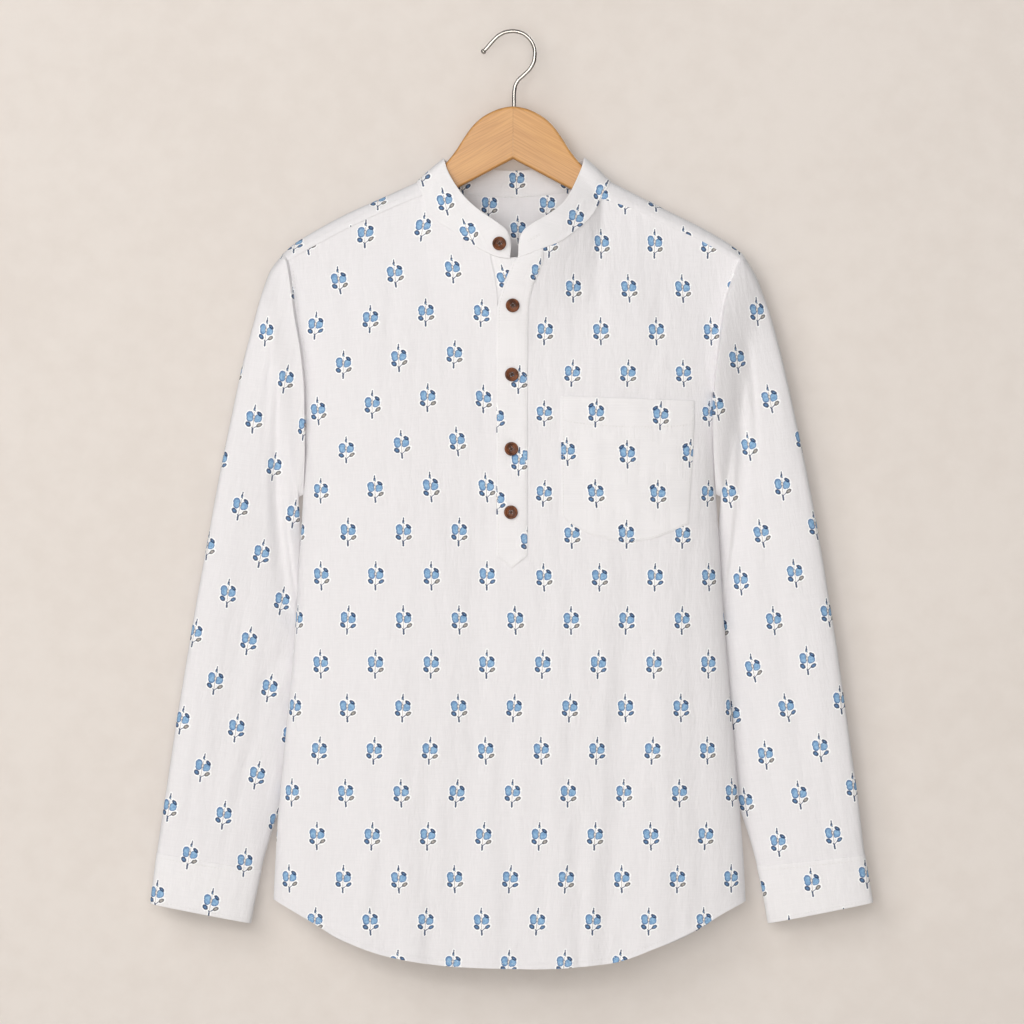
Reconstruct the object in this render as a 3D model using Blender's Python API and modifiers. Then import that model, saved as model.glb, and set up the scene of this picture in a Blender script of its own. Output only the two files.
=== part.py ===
# Cotton kurta tunic on a wooden hanger.
# Sizes are in millimetres and become metres where points are placed. +Z is up, +X is the
# viewer's right, and the front faces -Y. The origin is the inside crown of the hanger's
# hook, where a rail carries it.
from collections import namedtuple
from math import cos, hypot, pi, radians, sin, sqrt

import bmesh
import bpy
from mathutils import Vector

MM = 0.001
WELD = 0.00001
LEFT = -1
RIGHT = 1

# Walls and seams
WALL = 1.2
COLLAR_WALL = 2.0
CUFF_WALL = 1.6
POCKET_WALL = 1.0
SEAM = 0.35
SIDE_SEAM = 0.9
ARMHOLE_SEAM = 0.6
UNDERARM_GAP = 1.6
LAID_ON = 0.9
POCKET_LIFT = 0.7
SETTLE_STEPS = 14

# Shoulders: the yoke arches over the hanger from the front seam to a foot at the back
ARCH_DEPTH = 10.0
ARCH_STEPS = 3
DRAPE = 120.0
YOKE_SEAM_Z = -235.0

Shoulder = namedtuple("Shoulder", "ridge_x ridge_z front_x front_z back_x back_z")
SHOULDER = {
    LEFT: [
        Shoulder(91.2, -143.4, 86.4, -154.9, 88.0, -151.5),
        Shoulder(123.8, -158.2, 118.0, -168.0, 121.0, -168.5),
        Shoulder(158.4, -173.7, 153.0, -184.0, 156.0, -184.5),
        Shoulder(184.3, -187.4, 180.0, -197.8, 182.0, -198.5),
        Shoulder(209.7, -202.8, 204.0, -211.0, 206.0, -213.5),
        Shoulder(221.0, -212.5, 216.5, -218.3, 216.5, -223.0),
    ],
    RIGHT: [
        Shoulder(92.6, -143.0, 84.5, -158.3, 88.0, -151.5),
        Shoulder(119.0, -156.3, 113.0, -167.5, 116.5, -166.5),
        Shoulder(146.9, -170.5, 142.0, -181.8, 144.5, -181.0),
        Shoulder(182.4, -188.3, 178.0, -197.4, 180.0, -199.0),
        Shoulder(209.3, -204.2, 204.0, -212.2, 206.0, -215.0),
        Shoulder(221.5, -213.5, 217.3, -218.8, 217.0, -224.0),
    ],
}

# Body edges: the armhole seam down to the armpit, then the side seam down to the hem
ARMPIT_Z = -440.0
Edge = namedtuple("Edge", "z x")
BODY_EDGE = {
    LEFT: [
        Edge(-834, 230.4), Edge(-759, 226.2), Edge(-676, 218.5), Edge(-584, 210.0),
        Edge(-511, 205.9), Edge(-440, 201.5), Edge(-396, 199.7), Edge(-350, 199.7),
        Edge(-310, 202.5), Edge(-271, 208.8), Edge(-239, 213.0), Edge(-218.3, 216.5),
        Edge(-212, 221.0),
    ],
    RIGHT: [
        Edge(-836, 223.7), Edge(-786, 221.0), Edge(-740, 217.2), Edge(-639, 208.9),
        Edge(-563, 202.8), Edge(-496, 198.7), Edge(-440, 194.9), Edge(-371, 191.8),
        Edge(-341, 193.2), Edge(-298, 197.8), Edge(-261, 203.0), Edge(-236, 211.0),
        Edge(-218.8, 217.3), Edge(-213, 221.5),
    ],
}

# Hems, from the left side seam to the right one
Hem = namedtuple("Hem", "x z")
FRONT_HEM = [
    Hem(-230.4, -833.7), Hem(-195, -853.8), Hem(-165, -871.5), Hem(-115, -888.7),
    Hem(-52, -897.5), Hem(22, -899.5), Hem(90, -894.7), Hem(142, -877.5),
    Hem(176, -862.1), Hem(202, -846.7), Hem(223.7, -835.6),
]
BACK_HEM = [
    Hem(-230.4, -833.7), Hem(-195, -856.0), Hem(-165, -875.0), Hem(-115, -889.5),
    Hem(-52, -895.5), Hem(22, -896.5), Hem(90, -893.5), Hem(142, -881.0),
    Hem(176, -865.8), Hem(202, -848.8), Hem(223.7, -835.6),
]

# Depth of the hanging body: y of its side seam and of its middle, front and back. Beside the
# armholes the front and back edges open away from each other. The front rounds away to its
# sides by the power front_round, and back_lip is the back's own turned share.
FRONT_POWER = 4
BACK_LIP_POWER = 8
Section = namedtuple(
    "Section", "z seam_y front_open front_mid front_round back_open back_mid back_lip"
)
SECTIONS = [
    Section(-900, 0.0, 0.0, -30.0, 0.45, 0.0, 21.0, 0.30),
    Section(-700, 0.0, 0.0, -29.0, 0.45, 0.0, 21.0, 0.30),
    Section(-560, 1.0, 0.0, -28.0, 0.45, 0.0, 21.0, 0.30),
    Section(-440, 3.0, 0.0, -28.0, 0.45, 0.0, 21.0, 0.30),
    Section(-400, 3.0, 7.0, -28.0, 0.50, 4.0, 21.0, 0.20),
    Section(-350, 2.0, 13.0, -28.0, 0.65, 8.0, 21.0, 0.10),
    Section(-310, 1.0, 15.0, -27.0, 0.80, 11.0, 20.0, 0.0),
    Section(-260, 0.0, 13.0, -26.0, 0.90, 12.0, 19.0, 0.0),
    Section(-215, 0.0, 10.0, -25.0, 1.00, 10.0, 18.0, 0.0),
]

# Soft vertical folds hang from the shoulders. depth is how far the cloth sinks there. A fold
# deepens over its first share of length, and folds fade over the share beside a side seam.
FOLD_START = 0.333
FOLD_FADE = 0.333
Fold = namedtuple("Fold", "top_z bottom_z top_x bottom_x reach depth")
FRONT_FOLDS = [
    Fold(-400, -900, -158, -184, 34, 4.0),
    Fold(-370, -900, -46, -60, 30, 3.0),
    Fold(-470, -905, 108, 90, 30, 5.0),
    Fold(-560, -905, 2, 6, 22, 1.5),
    Fold(-520, -900, 176, 186, 22, 2.0),
]
BACK_FOLDS = [
    Fold(-300, -900, -120, -138, 34, 4.0),
    Fold(-260, -905, -30, -18, 34, 3.5),
    Fold(-320, -900, 72, 84, 32, 4.5),
    Fold(-420, -890, 150, 160, 26, 2.5),
]

# The collar band stands on the neck seam, from its left front end round the back to its
# right front end. Each row joins a point of the seam to a point of the top edge.
Collar = namedtuple("Collar", "base_x base_y base_z top_x top_y top_z")
COLLAR = [
    Collar(-2.9, -39.0, -218.3, -2.2, -34.5, -203.0),
    Collar(-11.5, -39.2, -217.0, -5.8, -35.8, -192.0),
    Collar(-21.6, -38.4, -213.6, -12.0, -36.0, -186.2),
    Collar(-33.0, -36.2, -207.7, -19.5, -34.6, -180.6),
    Collar(-47.0, -32.0, -199.1, -30.0, -31.4, -173.4),
    Collar(-58.6, -27.0, -190.5, -41.0, -27.0, -164.2),
    Collar(-71.0, -20.5, -181.8, -50.5, -21.8, -153.4),
    Collar(-81.0, -14.5, -170.3, -58.6, -16.0, -141.2),
    Collar(-86.4, -10.0, -154.9, -63.9, -9.8, -130.0),
    Collar(-88.8, -8.7, -149.2, -65.2, -8.4, -125.2),
    Collar(-90.6, -5.0, -144.9, -66.2, -4.8, -122.0),
    Collar(-91.2, 0.0, -143.4, -66.4, 0.0, -121.2),
    Collar(-90.8, 5.0, -144.5, -66.2, 4.8, -121.4),
    Collar(-89.6, 8.7, -147.5, -65.6, 8.4, -121.8),
    Collar(-88.0, 10.0, -151.5, -64.5, 10.0, -122.4),
    Collar(-72.0, 16.0, -153.6, -54.0, 14.4, -125.0),
    Collar(-47.0, 20.6, -154.9, -36.0, 18.2, -128.4),
    Collar(0.0, 24.0, -157.8, 0.0, 20.8, -131.3),
    Collar(50.0, 20.6, -153.6, 38.0, 18.2, -128.0),
    Collar(73.0, 16.0, -152.6, 56.0, 14.4, -124.6),
    Collar(88.0, 10.0, -151.5, 66.0, 10.0, -121.8),
    Collar(90.3, 8.7, -147.3, 67.4, 8.4, -121.2),
    Collar(92.0, 5.0, -144.1, 68.2, 4.8, -120.6),
    Collar(92.6, 0.0, -143.0, 68.4, 0.0, -120.4),
    Collar(91.5, -5.0, -145.1, 67.9, -4.8, -122.4),
    Collar(88.6, -8.7, -150.7, 66.4, -8.6, -128.4),
    Collar(84.5, -10.0, -158.3, 63.4, -10.0, -136.0),
    Collar(79.5, -15.0, -169.0, 57.0, -16.5, -150.0),
    Collar(72.7, -20.0, -178.9, 49.8, -22.2, -162.0),
    Collar(59.2, -27.2, -190.9, 40.0, -28.2, -171.2),
    Collar(44.2, -33.2, -201.7, 28.6, -32.6, -178.8),
    Collar(29.6, -37.2, -207.6, 18.6, -35.4, -184.8),
    Collar(18.0, -38.8, -212.4, 11.2, -36.0, -190.2),
    Collar(10.6, -39.0, -215.2, 8.4, -36.0, -194.4),
    Collar(4.8, -38.8, -217.9, 6.7, -35.0, -200.6),
]
LEFT_FRONT_ROWS = slice(0, 9)
BACK_ROWS = slice(14, 21)
RIGHT_FRONT_ROWS = slice(26, 35)
NECK_CENTRE_Z = -218.3
NECK_POINT_REACH = 0.5
ARMPIT_REACH = 5.0
COLLAR_FOOT = 0.03

# The front is cut open at the middle, and two strips fill the slot
SLOT_BOTTOM_Z = -500.0
Strip = namedtuple("Strip", "z left right")
SLOT = [
    Strip(-900, -14.4, 13.4), Strip(-300, -14.4, 13.4), Strip(-258, -15.0, 14.4),
    Strip(-236, -17.4, 21.4), Strip(-214, -21.6, 28.8), Strip(-140, -21.6, 28.8),
]
UPPER_STRIP = [
    Strip(-520, -16.0, 13.6), Strip(-300, -15.6, 14.0), Strip(-267, -15.0, 14.6),
    Strip(-250, -11.0, 17.6), Strip(-235, -5.6, 22.8), Strip(-221, 0.4, 28.8),
]
UPPER_STRIP_TOP_Z = -221.0
UPPER_STRIP_SHOULDER_Z = -503.0
UPPER_STRIP_POINT_Z = -515.0
UNDER_STRIP_TOP_Z = -220.0
UNDER_STRIP_BOTTOM_Z = -507.0
UNDER_STRIP_TUCK = 3.0
UNDER_STRIP_WIDTH = 26.0

# The patch pocket on the wearer's left chest
POCKET_SIDE = [Strip(-490, 46.6, 167.6), Strip(-354, 46.1, 174.1), Strip(-350, 46.1, 174.1)]
POCKET_TOP = [Hem(46.1, -349.9), Hem(174.1, -354.2)]
POCKET_BOTTOM = [
    Hem(46.5, -465.0), Hem(63.8, -477.9), Hem(83.5, -485.6), Hem(108.0, -489.8),
    Hem(130.0, -487.7), Hem(148.4, -481.6), Hem(168.0, -472.4),
]

# Buttons: four on the front strip and one on the collar's left end
# Each is turned to a profile, with a raised rim round a shallow dish.
BUTTON_BACK = 1.2
BUTTON_SIDES = 18
Turn = namedtuple("Turn", "radius height")
BUTTON_PROFILE = [
    Turn(0.0, 0.5), Turn(4.4, 0.5), Turn(5.0, 1.3), Turn(6.1, 1.3), Turn(6.6, 0.65),
    Turn(6.6, -0.5), Turn(5.6, -1.2), Turn(0.0, -1.2),
]
Button = namedtuple("Button", "name x z")
BUTTONS = [
    Button("button_1", -0.4, -262.9),
    Button("button_2", -1.3, -329.4),
    Button("button_3", -1.7, -400.7),
    Button("button_4", -2.1, -461.4),
]
COLLAR_BUTTON_X = -13.7
COLLAR_BUTTON_Z = -202.8

# Sleeves: outer and inner outlines, and how the inner one lies behind the body's edge
Inner = namedtuple("Inner", "z x y")
SLEEVE_OUTER = {
    LEFT: [
        Edge(-838.5, 349.0), Edge(-776, 340.8), Edge(-719, 332.2), Edge(-661, 323.5),
        Edge(-603, 313.9), Edge(-546, 304.3), Edge(-488, 293.8), Edge(-430, 283.2),
        Edge(-373, 271.7), Edge(-315, 259.2), Edge(-286, 251.5), Edge(-258, 243.8),
        Edge(-243, 239.0), Edge(-229, 233.3), Edge(-212.5, 221.0),
    ],
    RIGHT: [
        Edge(-837.5, 346.3), Edge(-786, 337.9), Edge(-738, 332.2), Edge(-690, 325.4),
        Edge(-642, 318.7), Edge(-594, 312.0), Edge(-546, 304.3), Edge(-498, 296.6),
        Edge(-450, 288.0), Edge(-402, 278.4), Edge(-363, 270.1), Edge(-319, 260.2),
        Edge(-273, 248.1), Edge(-253, 241.0), Edge(-236, 234.6), Edge(-213.5, 221.5),
    ],
}
SLEEVE_INNER = {
    LEFT: [
        Inner(-857.7, 253.4, 9.0), Inner(-828, 247.9, 9.5), Inner(-795, 240.4, 11.0),
        Inner(-764, 231.4, 14.0), Inner(-735, 220.5, 17.0), Inner(-690, 206.5, 19.5),
        Inner(-630, 197.0, 20.5), Inner(-575, 198.0, 20.5), Inner(-535, 201.0, 19.0),
        Inner(-505, 203.5, 16.5), Inner(-480, 204.8, 13.0), Inner(-460, 206.2, 9.0),
        Inner(-446, 207.0, 5.5), Inner(-440, 201.5, 3.0),
    ],
    RIGHT: [
        Inner(-857.7, 246.5, 9.0), Inner(-826, 241.0, 9.5), Inner(-795, 234.0, 11.0),
        Inner(-771, 227.2, 14.0), Inner(-735, 214.5, 17.0), Inner(-690, 200.5, 19.5),
        Inner(-630, 191.0, 20.5), Inner(-575, 192.0, 20.5), Inner(-535, 195.0, 19.0),
        Inner(-505, 197.4, 16.5), Inner(-480, 198.6, 13.0), Inner(-460, 199.8, 9.0),
        Inner(-446, 200.6, 5.5), Inner(-440, 194.9, 3.0),
    ],
}
SLEEVE_OUTER_Y = 2.0
SLEEVE_OUTER_SETTLE = 0.167

# Stations down a sleeve: inner_z is where a ring meets the inner outline, rise is how much
# higher it meets the outer one, half_depth is half its thickness from front to back
Station = namedtuple("Station", "t inner_z rise half_depth")
SLEEVE_STATIONS = {
    LEFT: [
        Station(0.0, -440.0, 227.5, 12.0), Station(0.06, -447.0, 211.0, 12.0),
        Station(0.2, -513.0, 189.0, 13.5), Station(0.4, -588.0, 146.0, 14.0),
        Station(0.6, -660.0, 102.0, 14.0), Station(0.8, -733.0, 58.0, 13.5),
        Station(1.0, -806.5, 17.2, 12.5), Station(1.35, -857.7, 19.2, 12.0),
    ],
    RIGHT: [
        Station(0.0, -440.0, 226.5, 12.0), Station(0.06, -447.0, 210.0, 12.0),
        Station(0.2, -513.0, 186.0, 13.5), Station(0.4, -588.0, 142.0, 14.0),
        Station(0.6, -660.0, 97.0, 14.0), Station(0.8, -733.0, 50.0, 13.5),
        Station(1.0, -802.3, 11.0, 12.5), Station(1.35, -857.7, 20.2, 12.0),
    ],
}
SLEEVE_RINGS = 17
SLEEVE_SETTLE = 0.1
CUFF_END = 1.35
CUFF_RINGS = 2
SLEEVE_ROUND = 2.4

# Sleeve folds, in the same terms as the sleeve: t down it, u across its front half. The back
# half has a share of each.
BACK_FOLD_SHARE = 0.7
SleeveFold = namedtuple("SleeveFold", "side top_t bottom_t top_u bottom_u reach depth")
SLEEVE_FOLDS = [
    SleeveFold(LEFT, 0.02, 0.45, 0.42, 0.78, 0.16, 5.0),
    SleeveFold(LEFT, 0.35, 0.98, 0.34, 0.40, 0.15, 2.0),
    SleeveFold(RIGHT, 0.04, 0.42, 0.50, 0.80, 0.16, 4.0),
    SleeveFold(RIGHT, 0.30, 0.98, 0.42, 0.36, 0.15, 2.5),
]

# Grids of the panels
ROWS_BELOW_SLOT = 9
ROWS_BESIDE_ARMHOLE = 6
SIDE_COLUMNS = 10
NECK_COLUMNS = 6
SIDE_CROWDING = 1.4
NECK_CROWDING = 1.6
EDGE_COLUMN = 0.99
BACK_HALF_COLUMNS = 13
BACK_CROWDING = 1.25
BACK_ROWS_BELOW_ARMPIT = 8
YOKE_SIDE_COLUMNS = 8
YOKE_MIDDLE_COLUMNS = 8
YOKE_DROP_ROWS = 3
COLLAR_COLUMNS = 68
COLLAR_ROWS = 2

# Hanger: a shaped wooden arm each side of a mitre joint, and a bent wire hook
HANGER_THICKNESS = 11.0
HANGER_ROUND = 4.5
HANGER_JOINT = 0.15
ARM_SEAT = 1.5
Outline = namedtuple("Outline", "x z")
DOME = [
    Outline(0.0, -71.6), Outline(9.0, -72.6), Outline(17.5, -76.2), Outline(25.5, -80.4),
    Outline(32.2, -85.8), Outline(37.6, -91.6), Outline(42.6, -98.4), Outline(48.7, -107.4),
    Outline(55.4, -116.0), Outline(63.4, -125.4), Outline(72.0, -133.8), Outline(82.0, -140.8),
    Outline(92.0, -146.6),
]
ARM_TOP_X = [106.0, 125.0, 145.0, 165.0, 185.0, 200.0]
ARM_TIP_X = 211.0
Tip = namedtuple("Tip", "inward down")
ARM_TIP = [Tip(1.8, -0.3), Tip(0.0, 3.6), Tip(0.0, 15.0), Tip(6.0, 19.8)]
NOTCH_Z = -121.2
NOTCH_SLOPE = 0.526
NOTCH_END_X = 89.7
HOOK_RADIUS = 2.0
HOOK_HOLE_RADIUS = 2.3
HOOK_HOLE_DEPTH = 26.0
HOOK_STEM_X = 1.0
HOOK_SEAT = 0.3
HOOK_SIDES = 16
HOOK_STEPS = 3
Bend = namedtuple("Bend", "x z")
HOOK = [
    Bend(-28.4, -17.7), Bend(-24.2, -13.2), Bend(-19.2, -7.4), Bend(-13.2, -1.9),
    Bend(-6.8, 1.1), Bend(0.0, 2.0), Bend(7.6, 0.6), Bend(14.2, -3.5), Bend(19.0, -9.8),
    Bend(21.1, -17.5), Bend(20.4, -26.0), Bend(16.6, -34.0), Bend(10.4, -40.4),
    Bend(4.6, -46.0), Bend(1.6, -53.0), Bend(1.0, -61.0), Bend(1.0, -80.0),
]


def lerp(a, b, t):
    return a + (b - a) * t


def ease(t):
    t = min(1.0, max(0.0, t))
    return t * t * (3.0 - 2.0 * t)


def hermite(p0, p1, m0, m1, span, t):
    """Cubic from p0 to p1 with end slopes m0 and m1 over a span."""
    return (
        p0 * (1 + 2 * t) * (1 - t) ** 2
        + m0 * span * t * (1 - t) ** 2
        + p1 * t * t * (3 - 2 * t)
        - m1 * span * t * t * (1 - t)
    )


def smooth(keys, values, at):
    """Smooth curve through rows without overshoot, held level beyond its ends."""
    last = len(keys) - 1
    if at <= keys[0]:
        return values[0]
    if at >= keys[last]:
        return values[last]

    def secant(k):
        return (values[k + 1] - values[k]) / (keys[k + 1] - keys[k])

    def slope(k):
        if k == 0 or k == last:
            return secant(min(k, last - 1))
        before, after = secant(k - 1), secant(k)
        if before * after <= 0:
            return 0.0
        return 2 * before * after / (before + after)

    i = max(k for k in range(last) if keys[k] <= at)
    span = keys[i + 1] - keys[i]
    t = (at - keys[i]) / span
    return hermite(values[i], values[i + 1], slope(i), slope(i + 1), span, t)


def look_up(table, key, column, at):
    """Read a column of a table at a value of its key column."""
    rows = sorted(table, key=lambda row: getattr(row, key))
    return smooth([getattr(r, key) for r in rows], [getattr(r, column) for r in rows], at)


def along_rows(table, column, at):
    """Read a column at a place between rows, counted from the first row."""
    return smooth(list(range(len(table))), [getattr(row, column) for row in table], at)


def body_edge(side, z):
    return side * look_up(BODY_EDGE[side], "z", "x", z)


def slot_edge(side, z):
    return look_up(SLOT, "z", "left" if side == LEFT else "right", z)


def front_top(x):
    """Height and depth of the front's upper edge: shoulder seams and neck seam."""
    for side, rows in ((LEFT, COLLAR[LEFT_FRONT_ROWS]), (RIGHT, COLLAR[RIGHT_FRONT_ROWS])):
        neck_x = SHOULDER[side][0].front_x
        if side * x >= neck_x:
            return look_up(SHOULDER[side], "front_x", "front_z", side * x), -ARCH_DEPTH
        if side * x >= side * rows[0 if side == LEFT else -1].base_x:
            return look_up(rows, "base_x", "base_z", x), look_up(rows, "base_x", "base_y", x)
    return NECK_CENTRE_Z, COLLAR[0].base_y


def back_top(x):
    """Height and depth of the yoke's upper edge at the back."""
    side = LEFT if x < 0 else RIGHT
    if side * x >= SHOULDER[side][0].back_x:
        return look_up(SHOULDER[side], "back_x", "back_z", side * x), ARCH_DEPTH
    rows = COLLAR[BACK_ROWS]
    return look_up(rows, "base_x", "base_z", x), look_up(rows, "base_x", "base_y", x)


def fold_depth(folds, x, z):
    total = 0.0
    for fold in folds:
        down = (fold.top_z - z) / (fold.top_z - fold.bottom_z)
        if down <= 0:
            continue
        centre = lerp(fold.top_x, fold.bottom_x, down)
        away = min(1.0, abs(x - centre) / fold.reach)
        total += fold.depth * ease(down / FOLD_START) * (1 + cos(pi * away)) / 2
    return total


def across(x, z):
    """Share of the way from the body's middle to its edge."""
    left = body_edge(LEFT, z)
    right = body_edge(RIGHT, z)
    return min(1.0, abs(x - (left + right) / 2) * 2 / (right - left))


def front_y(x, z):
    q = across(x, z)
    edge = look_up(SECTIONS, "z", "seam_y", z) - look_up(SECTIONS, "z", "front_open", z)
    mid = look_up(SECTIONS, "z", "front_mid", z)
    rounding = look_up(SECTIONS, "z", "front_round", z)
    level = (1 - q ** FRONT_POWER) ** rounding
    fold = fold_depth(FRONT_FOLDS, x, z) * min(1.0, (1 - q) / FOLD_FADE)
    hang = edge + (mid - edge) * level + fold
    top_z, top_y = front_top(x)
    return lerp(top_y, hang, ease((top_z - z) / DRAPE))


def back_y(x, z):
    q = across(x, z)
    edge = look_up(SECTIONS, "z", "seam_y", z) + look_up(SECTIONS, "z", "back_open", z)
    mid = look_up(SECTIONS, "z", "back_mid", z)
    lip = look_up(SECTIONS, "z", "back_lip", z)
    level = lip * sqrt(1 - q ** BACK_LIP_POWER) + (1 - lip) * (1 - q * q)
    fold = fold_depth(BACK_FOLDS, x, z) * min(1.0, (1 - q) / FOLD_FADE)
    hang = edge + (mid - edge) * level - fold
    top_z, top_y = back_top(x)
    return lerp(top_y, hang, ease((top_z - z) / DRAPE))


def on_front(x, z, out):
    """A point over the front, moved out along its normal."""
    step = 2.0
    slope_x = (front_y(x + step, z) - front_y(x - step, z)) / (2 * step)
    slope_z = (front_y(x, z + step) - front_y(x, z - step)) / (2 * step)
    normal = Vector((slope_x, -1.0, slope_z)).normalized()
    return Vector((x, front_y(x, z), z)) + normal * out, normal


def front_x(c, z):
    """c runs -2 at the left edge, -1 and 1 at the slot's edges, and 2 at the right edge."""
    left = slot_edge(LEFT, z)
    right = slot_edge(RIGHT, z)
    if c < -1:
        return lerp(left, body_edge(LEFT, z), -c - 1)
    if c > 1:
        return lerp(right, body_edge(RIGHT, z), c - 1)
    return lerp(left, right, (c + 1) / 2)


def front_point(c, v):
    """v runs 0 at the hem to 1 at the shoulder and neck seams."""
    z = lerp(look_up(FRONT_HEM, "x", "z", 0.0), NECK_CENTRE_Z, v)
    for _ in range(SETTLE_STEPS):
        x = front_x(c, z)
        z = lerp(look_up(FRONT_HEM, "x", "z", x), front_top(x)[0], v)
    neck_x = SHOULDER[LEFT if x < 0 else RIGHT][0].front_x
    if v == 1 and abs(x) > neck_x - NECK_POINT_REACH:
        z -= SEAM
    if abs(c) == 2 and z < ARMPIT_Z + ARMPIT_REACH:
        return Vector((x, front_y(x, z) - SIDE_SEAM / 2, z))
    return Vector((x, front_y(x, z), z))


def back_point(c, v):
    """c runs -1 at the left edge to 1 at the right, v 0 at the hem to 1 at the yoke seam."""
    z = lerp(look_up(BACK_HEM, "x", "z", 0.0), YOKE_SEAM_Z, v)
    for _ in range(SETTLE_STEPS):
        left = body_edge(LEFT, z)
        right = body_edge(RIGHT, z)
        x = lerp(left, right, (c + 1) / 2)
        z = lerp(look_up(BACK_HEM, "x", "z", x), YOKE_SEAM_Z - SEAM, v)
    if abs(c) == 1 and z < ARMPIT_Z + ARMPIT_REACH:
        return Vector((x, back_y(x, z) + SIDE_SEAM / 2, z))
    return Vector((x, back_y(x, z), z))


def arch_point(side, f, turn):
    """The yoke over a shoulder: f from the neck to the armhole, turn -90 at the front seam,
    0 on the ridge and 90 at the foot behind."""
    rows = SHOULDER[side]
    at = f * (len(rows) - 1)
    ridge_x = along_rows(rows, "ridge_x", at)
    ridge_z = along_rows(rows, "ridge_z", at)
    foot = "front" if turn < 0 else "back"
    foot_x = along_rows(rows, foot + "_x", at)
    foot_z = along_rows(rows, foot + "_z", at)
    fall = 1 - cos(radians(turn))
    x = lerp(ridge_x, foot_x, fall)
    z = lerp(ridge_z, foot_z, fall)
    return Vector((side * x, ARCH_DEPTH * sin(radians(turn)), z))


def yoke_drop(side, f, r):
    """The yoke's back below the arch, r from 0 at the arch's foot to 1 at the back seam."""
    foot = arch_point(side, f, 90)
    neck_x = SHOULDER[side][0].back_x
    tip_x = SHOULDER[side][-1].back_x
    hem_x = body_edge(side, YOKE_SEAM_Z)
    share = (side * foot.x - neck_x) / (tip_x - neck_x)
    x = lerp(foot.x, side * lerp(neck_x, side * hem_x, share), r)
    z = lerp(foot.z, YOKE_SEAM_Z, r)
    return Vector((x, back_y(x, z), z))


def yoke_middle(x, r):
    top_z = back_top(x)[0]
    z = lerp(top_z, YOKE_SEAM_Z, r)
    return Vector((x, back_y(x, z), z))


def sleeve_chord(side, t):
    rows = SLEEVE_STATIONS[side]
    times = [row.t for row in rows]
    inner_z = smooth(times, [row.inner_z for row in rows], t)
    outer_z = inner_z + smooth(times, [row.rise for row in rows], t)
    half = smooth(times, [row.half_depth for row in rows], t)
    outer_x = side * look_up(SLEEVE_OUTER[side], "z", "x", outer_z)
    inner_x = side * look_up(SLEEVE_INNER[side], "z", "x", inner_z)
    inner_y = look_up(SLEEVE_INNER[side], "z", "y", inner_z)
    outer_y = SLEEVE_OUTER_Y * ease(t / SLEEVE_OUTER_SETTLE)
    return Vector((outer_x, outer_y, outer_z)), Vector((inner_x, inner_y, inner_z)), half


def sleeve_fold(side, t, u):
    total = 0.0
    for fold in SLEEVE_FOLDS:
        down = (t - fold.top_t) / (fold.bottom_t - fold.top_t)
        if fold.side != side or down <= 0 or down >= 1:
            continue
        away = min(1.0, abs(u - lerp(fold.top_u, fold.bottom_u, down)) / fold.reach)
        total += fold.depth * sin(pi * down) * (1 + cos(pi * away)) / 2
    return total


def sleeve_ring(side, t, loop):
    """One ring of a sleeve. loop is the armhole, as (u, face, point) from the ridge round
    the front to the armpit and up the back."""
    outer, inner, half = sleeve_chord(side, t)
    outer_0, inner_0, _ = sleeve_chord(side, 0.0)
    settle = ease(t / SLEEVE_SETTLE)
    points = []
    for u_loop, u_even, face, point in loop:
        u = lerp(u_loop, u_even, settle)
        bulge = (1 - abs(2 * u - 1) ** SLEEVE_ROUND) ** (1 / SLEEVE_ROUND) * half
        if face < 0:
            fold = sleeve_fold(side, t, u)
        else:
            fold = BACK_FOLD_SHARE * sleeve_fold(side, t, 1 - u)
        chord = outer.lerp(inner, u)
        chord.y += face * max(0.0, bulge - fold)
        chord_0 = outer_0.lerp(inner_0, u_loop)
        points.append(chord + (point - chord_0) * (1 - settle) if t > 0 else point)
    return points


def front_columns():
    """Columns of the front, crowded where the sides round away and at the neck points."""
    halves = {}
    for side in (LEFT, RIGHT):
        neck = SHOULDER[side][0]
        slot = side * slot_edge(side, neck.front_z)
        edge = side * body_edge(side, neck.front_z)
        neck_c = (neck.front_x - slot) / (edge - slot)
        inner = [neck_c * (1 - (k / NECK_COLUMNS) ** NECK_CROWDING) for k in range(NECK_COLUMNS)]
        crowd = [1 - (k / SIDE_COLUMNS) ** SIDE_CROWDING for k in range(1, SIDE_COLUMNS)]
        outer = [lerp(neck_c, 1.0, share) for share in crowd]
        halves[side] = [side * (1 + g) for g in [1.0, EDGE_COLUMN] + outer + inner]
    return halves[LEFT] + [-1, 0, 1] + halves[RIGHT][::-1]


def armhole_levels(top_z, hem_z):
    """Levels of an edge column from the armpit up, as shares of the way from hem to top."""
    pit = (ARMPIT_Z - hem_z) / (top_z - hem_z)
    return [lerp(pit, 1.0, k / ROWS_BESIDE_ARMHOLE) for k in range(ROWS_BESIDE_ARMHOLE + 1)]


def front_levels():
    centre_hem = look_up(FRONT_HEM, "x", "z", 0.0)
    slot = (SLOT_BOTTOM_Z - centre_hem) / (NECK_CENTRE_Z - centre_hem)
    lower = [slot * k / ROWS_BELOW_SLOT for k in range(ROWS_BELOW_SLOT + 1)]
    return lower + armhole_levels(SHOULDER[LEFT][-1].front_z, FRONT_HEM[0].z)


def back_levels():
    upper = armhole_levels(YOKE_SEAM_Z - SEAM, BACK_HEM[0].z)
    return [upper[0] * k / BACK_ROWS_BELOW_ARMPIT for k in range(BACK_ROWS_BELOW_ARMPIT)] + upper


def back_columns():
    half = [1 - (1 - k / BACK_HALF_COLUMNS) ** BACK_CROWDING for k in range(1, BACK_HALF_COLUMNS)]
    half += [EDGE_COLUMN, 1.0]
    return [-c for c in half[::-1]] + [0.0] + half


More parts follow.
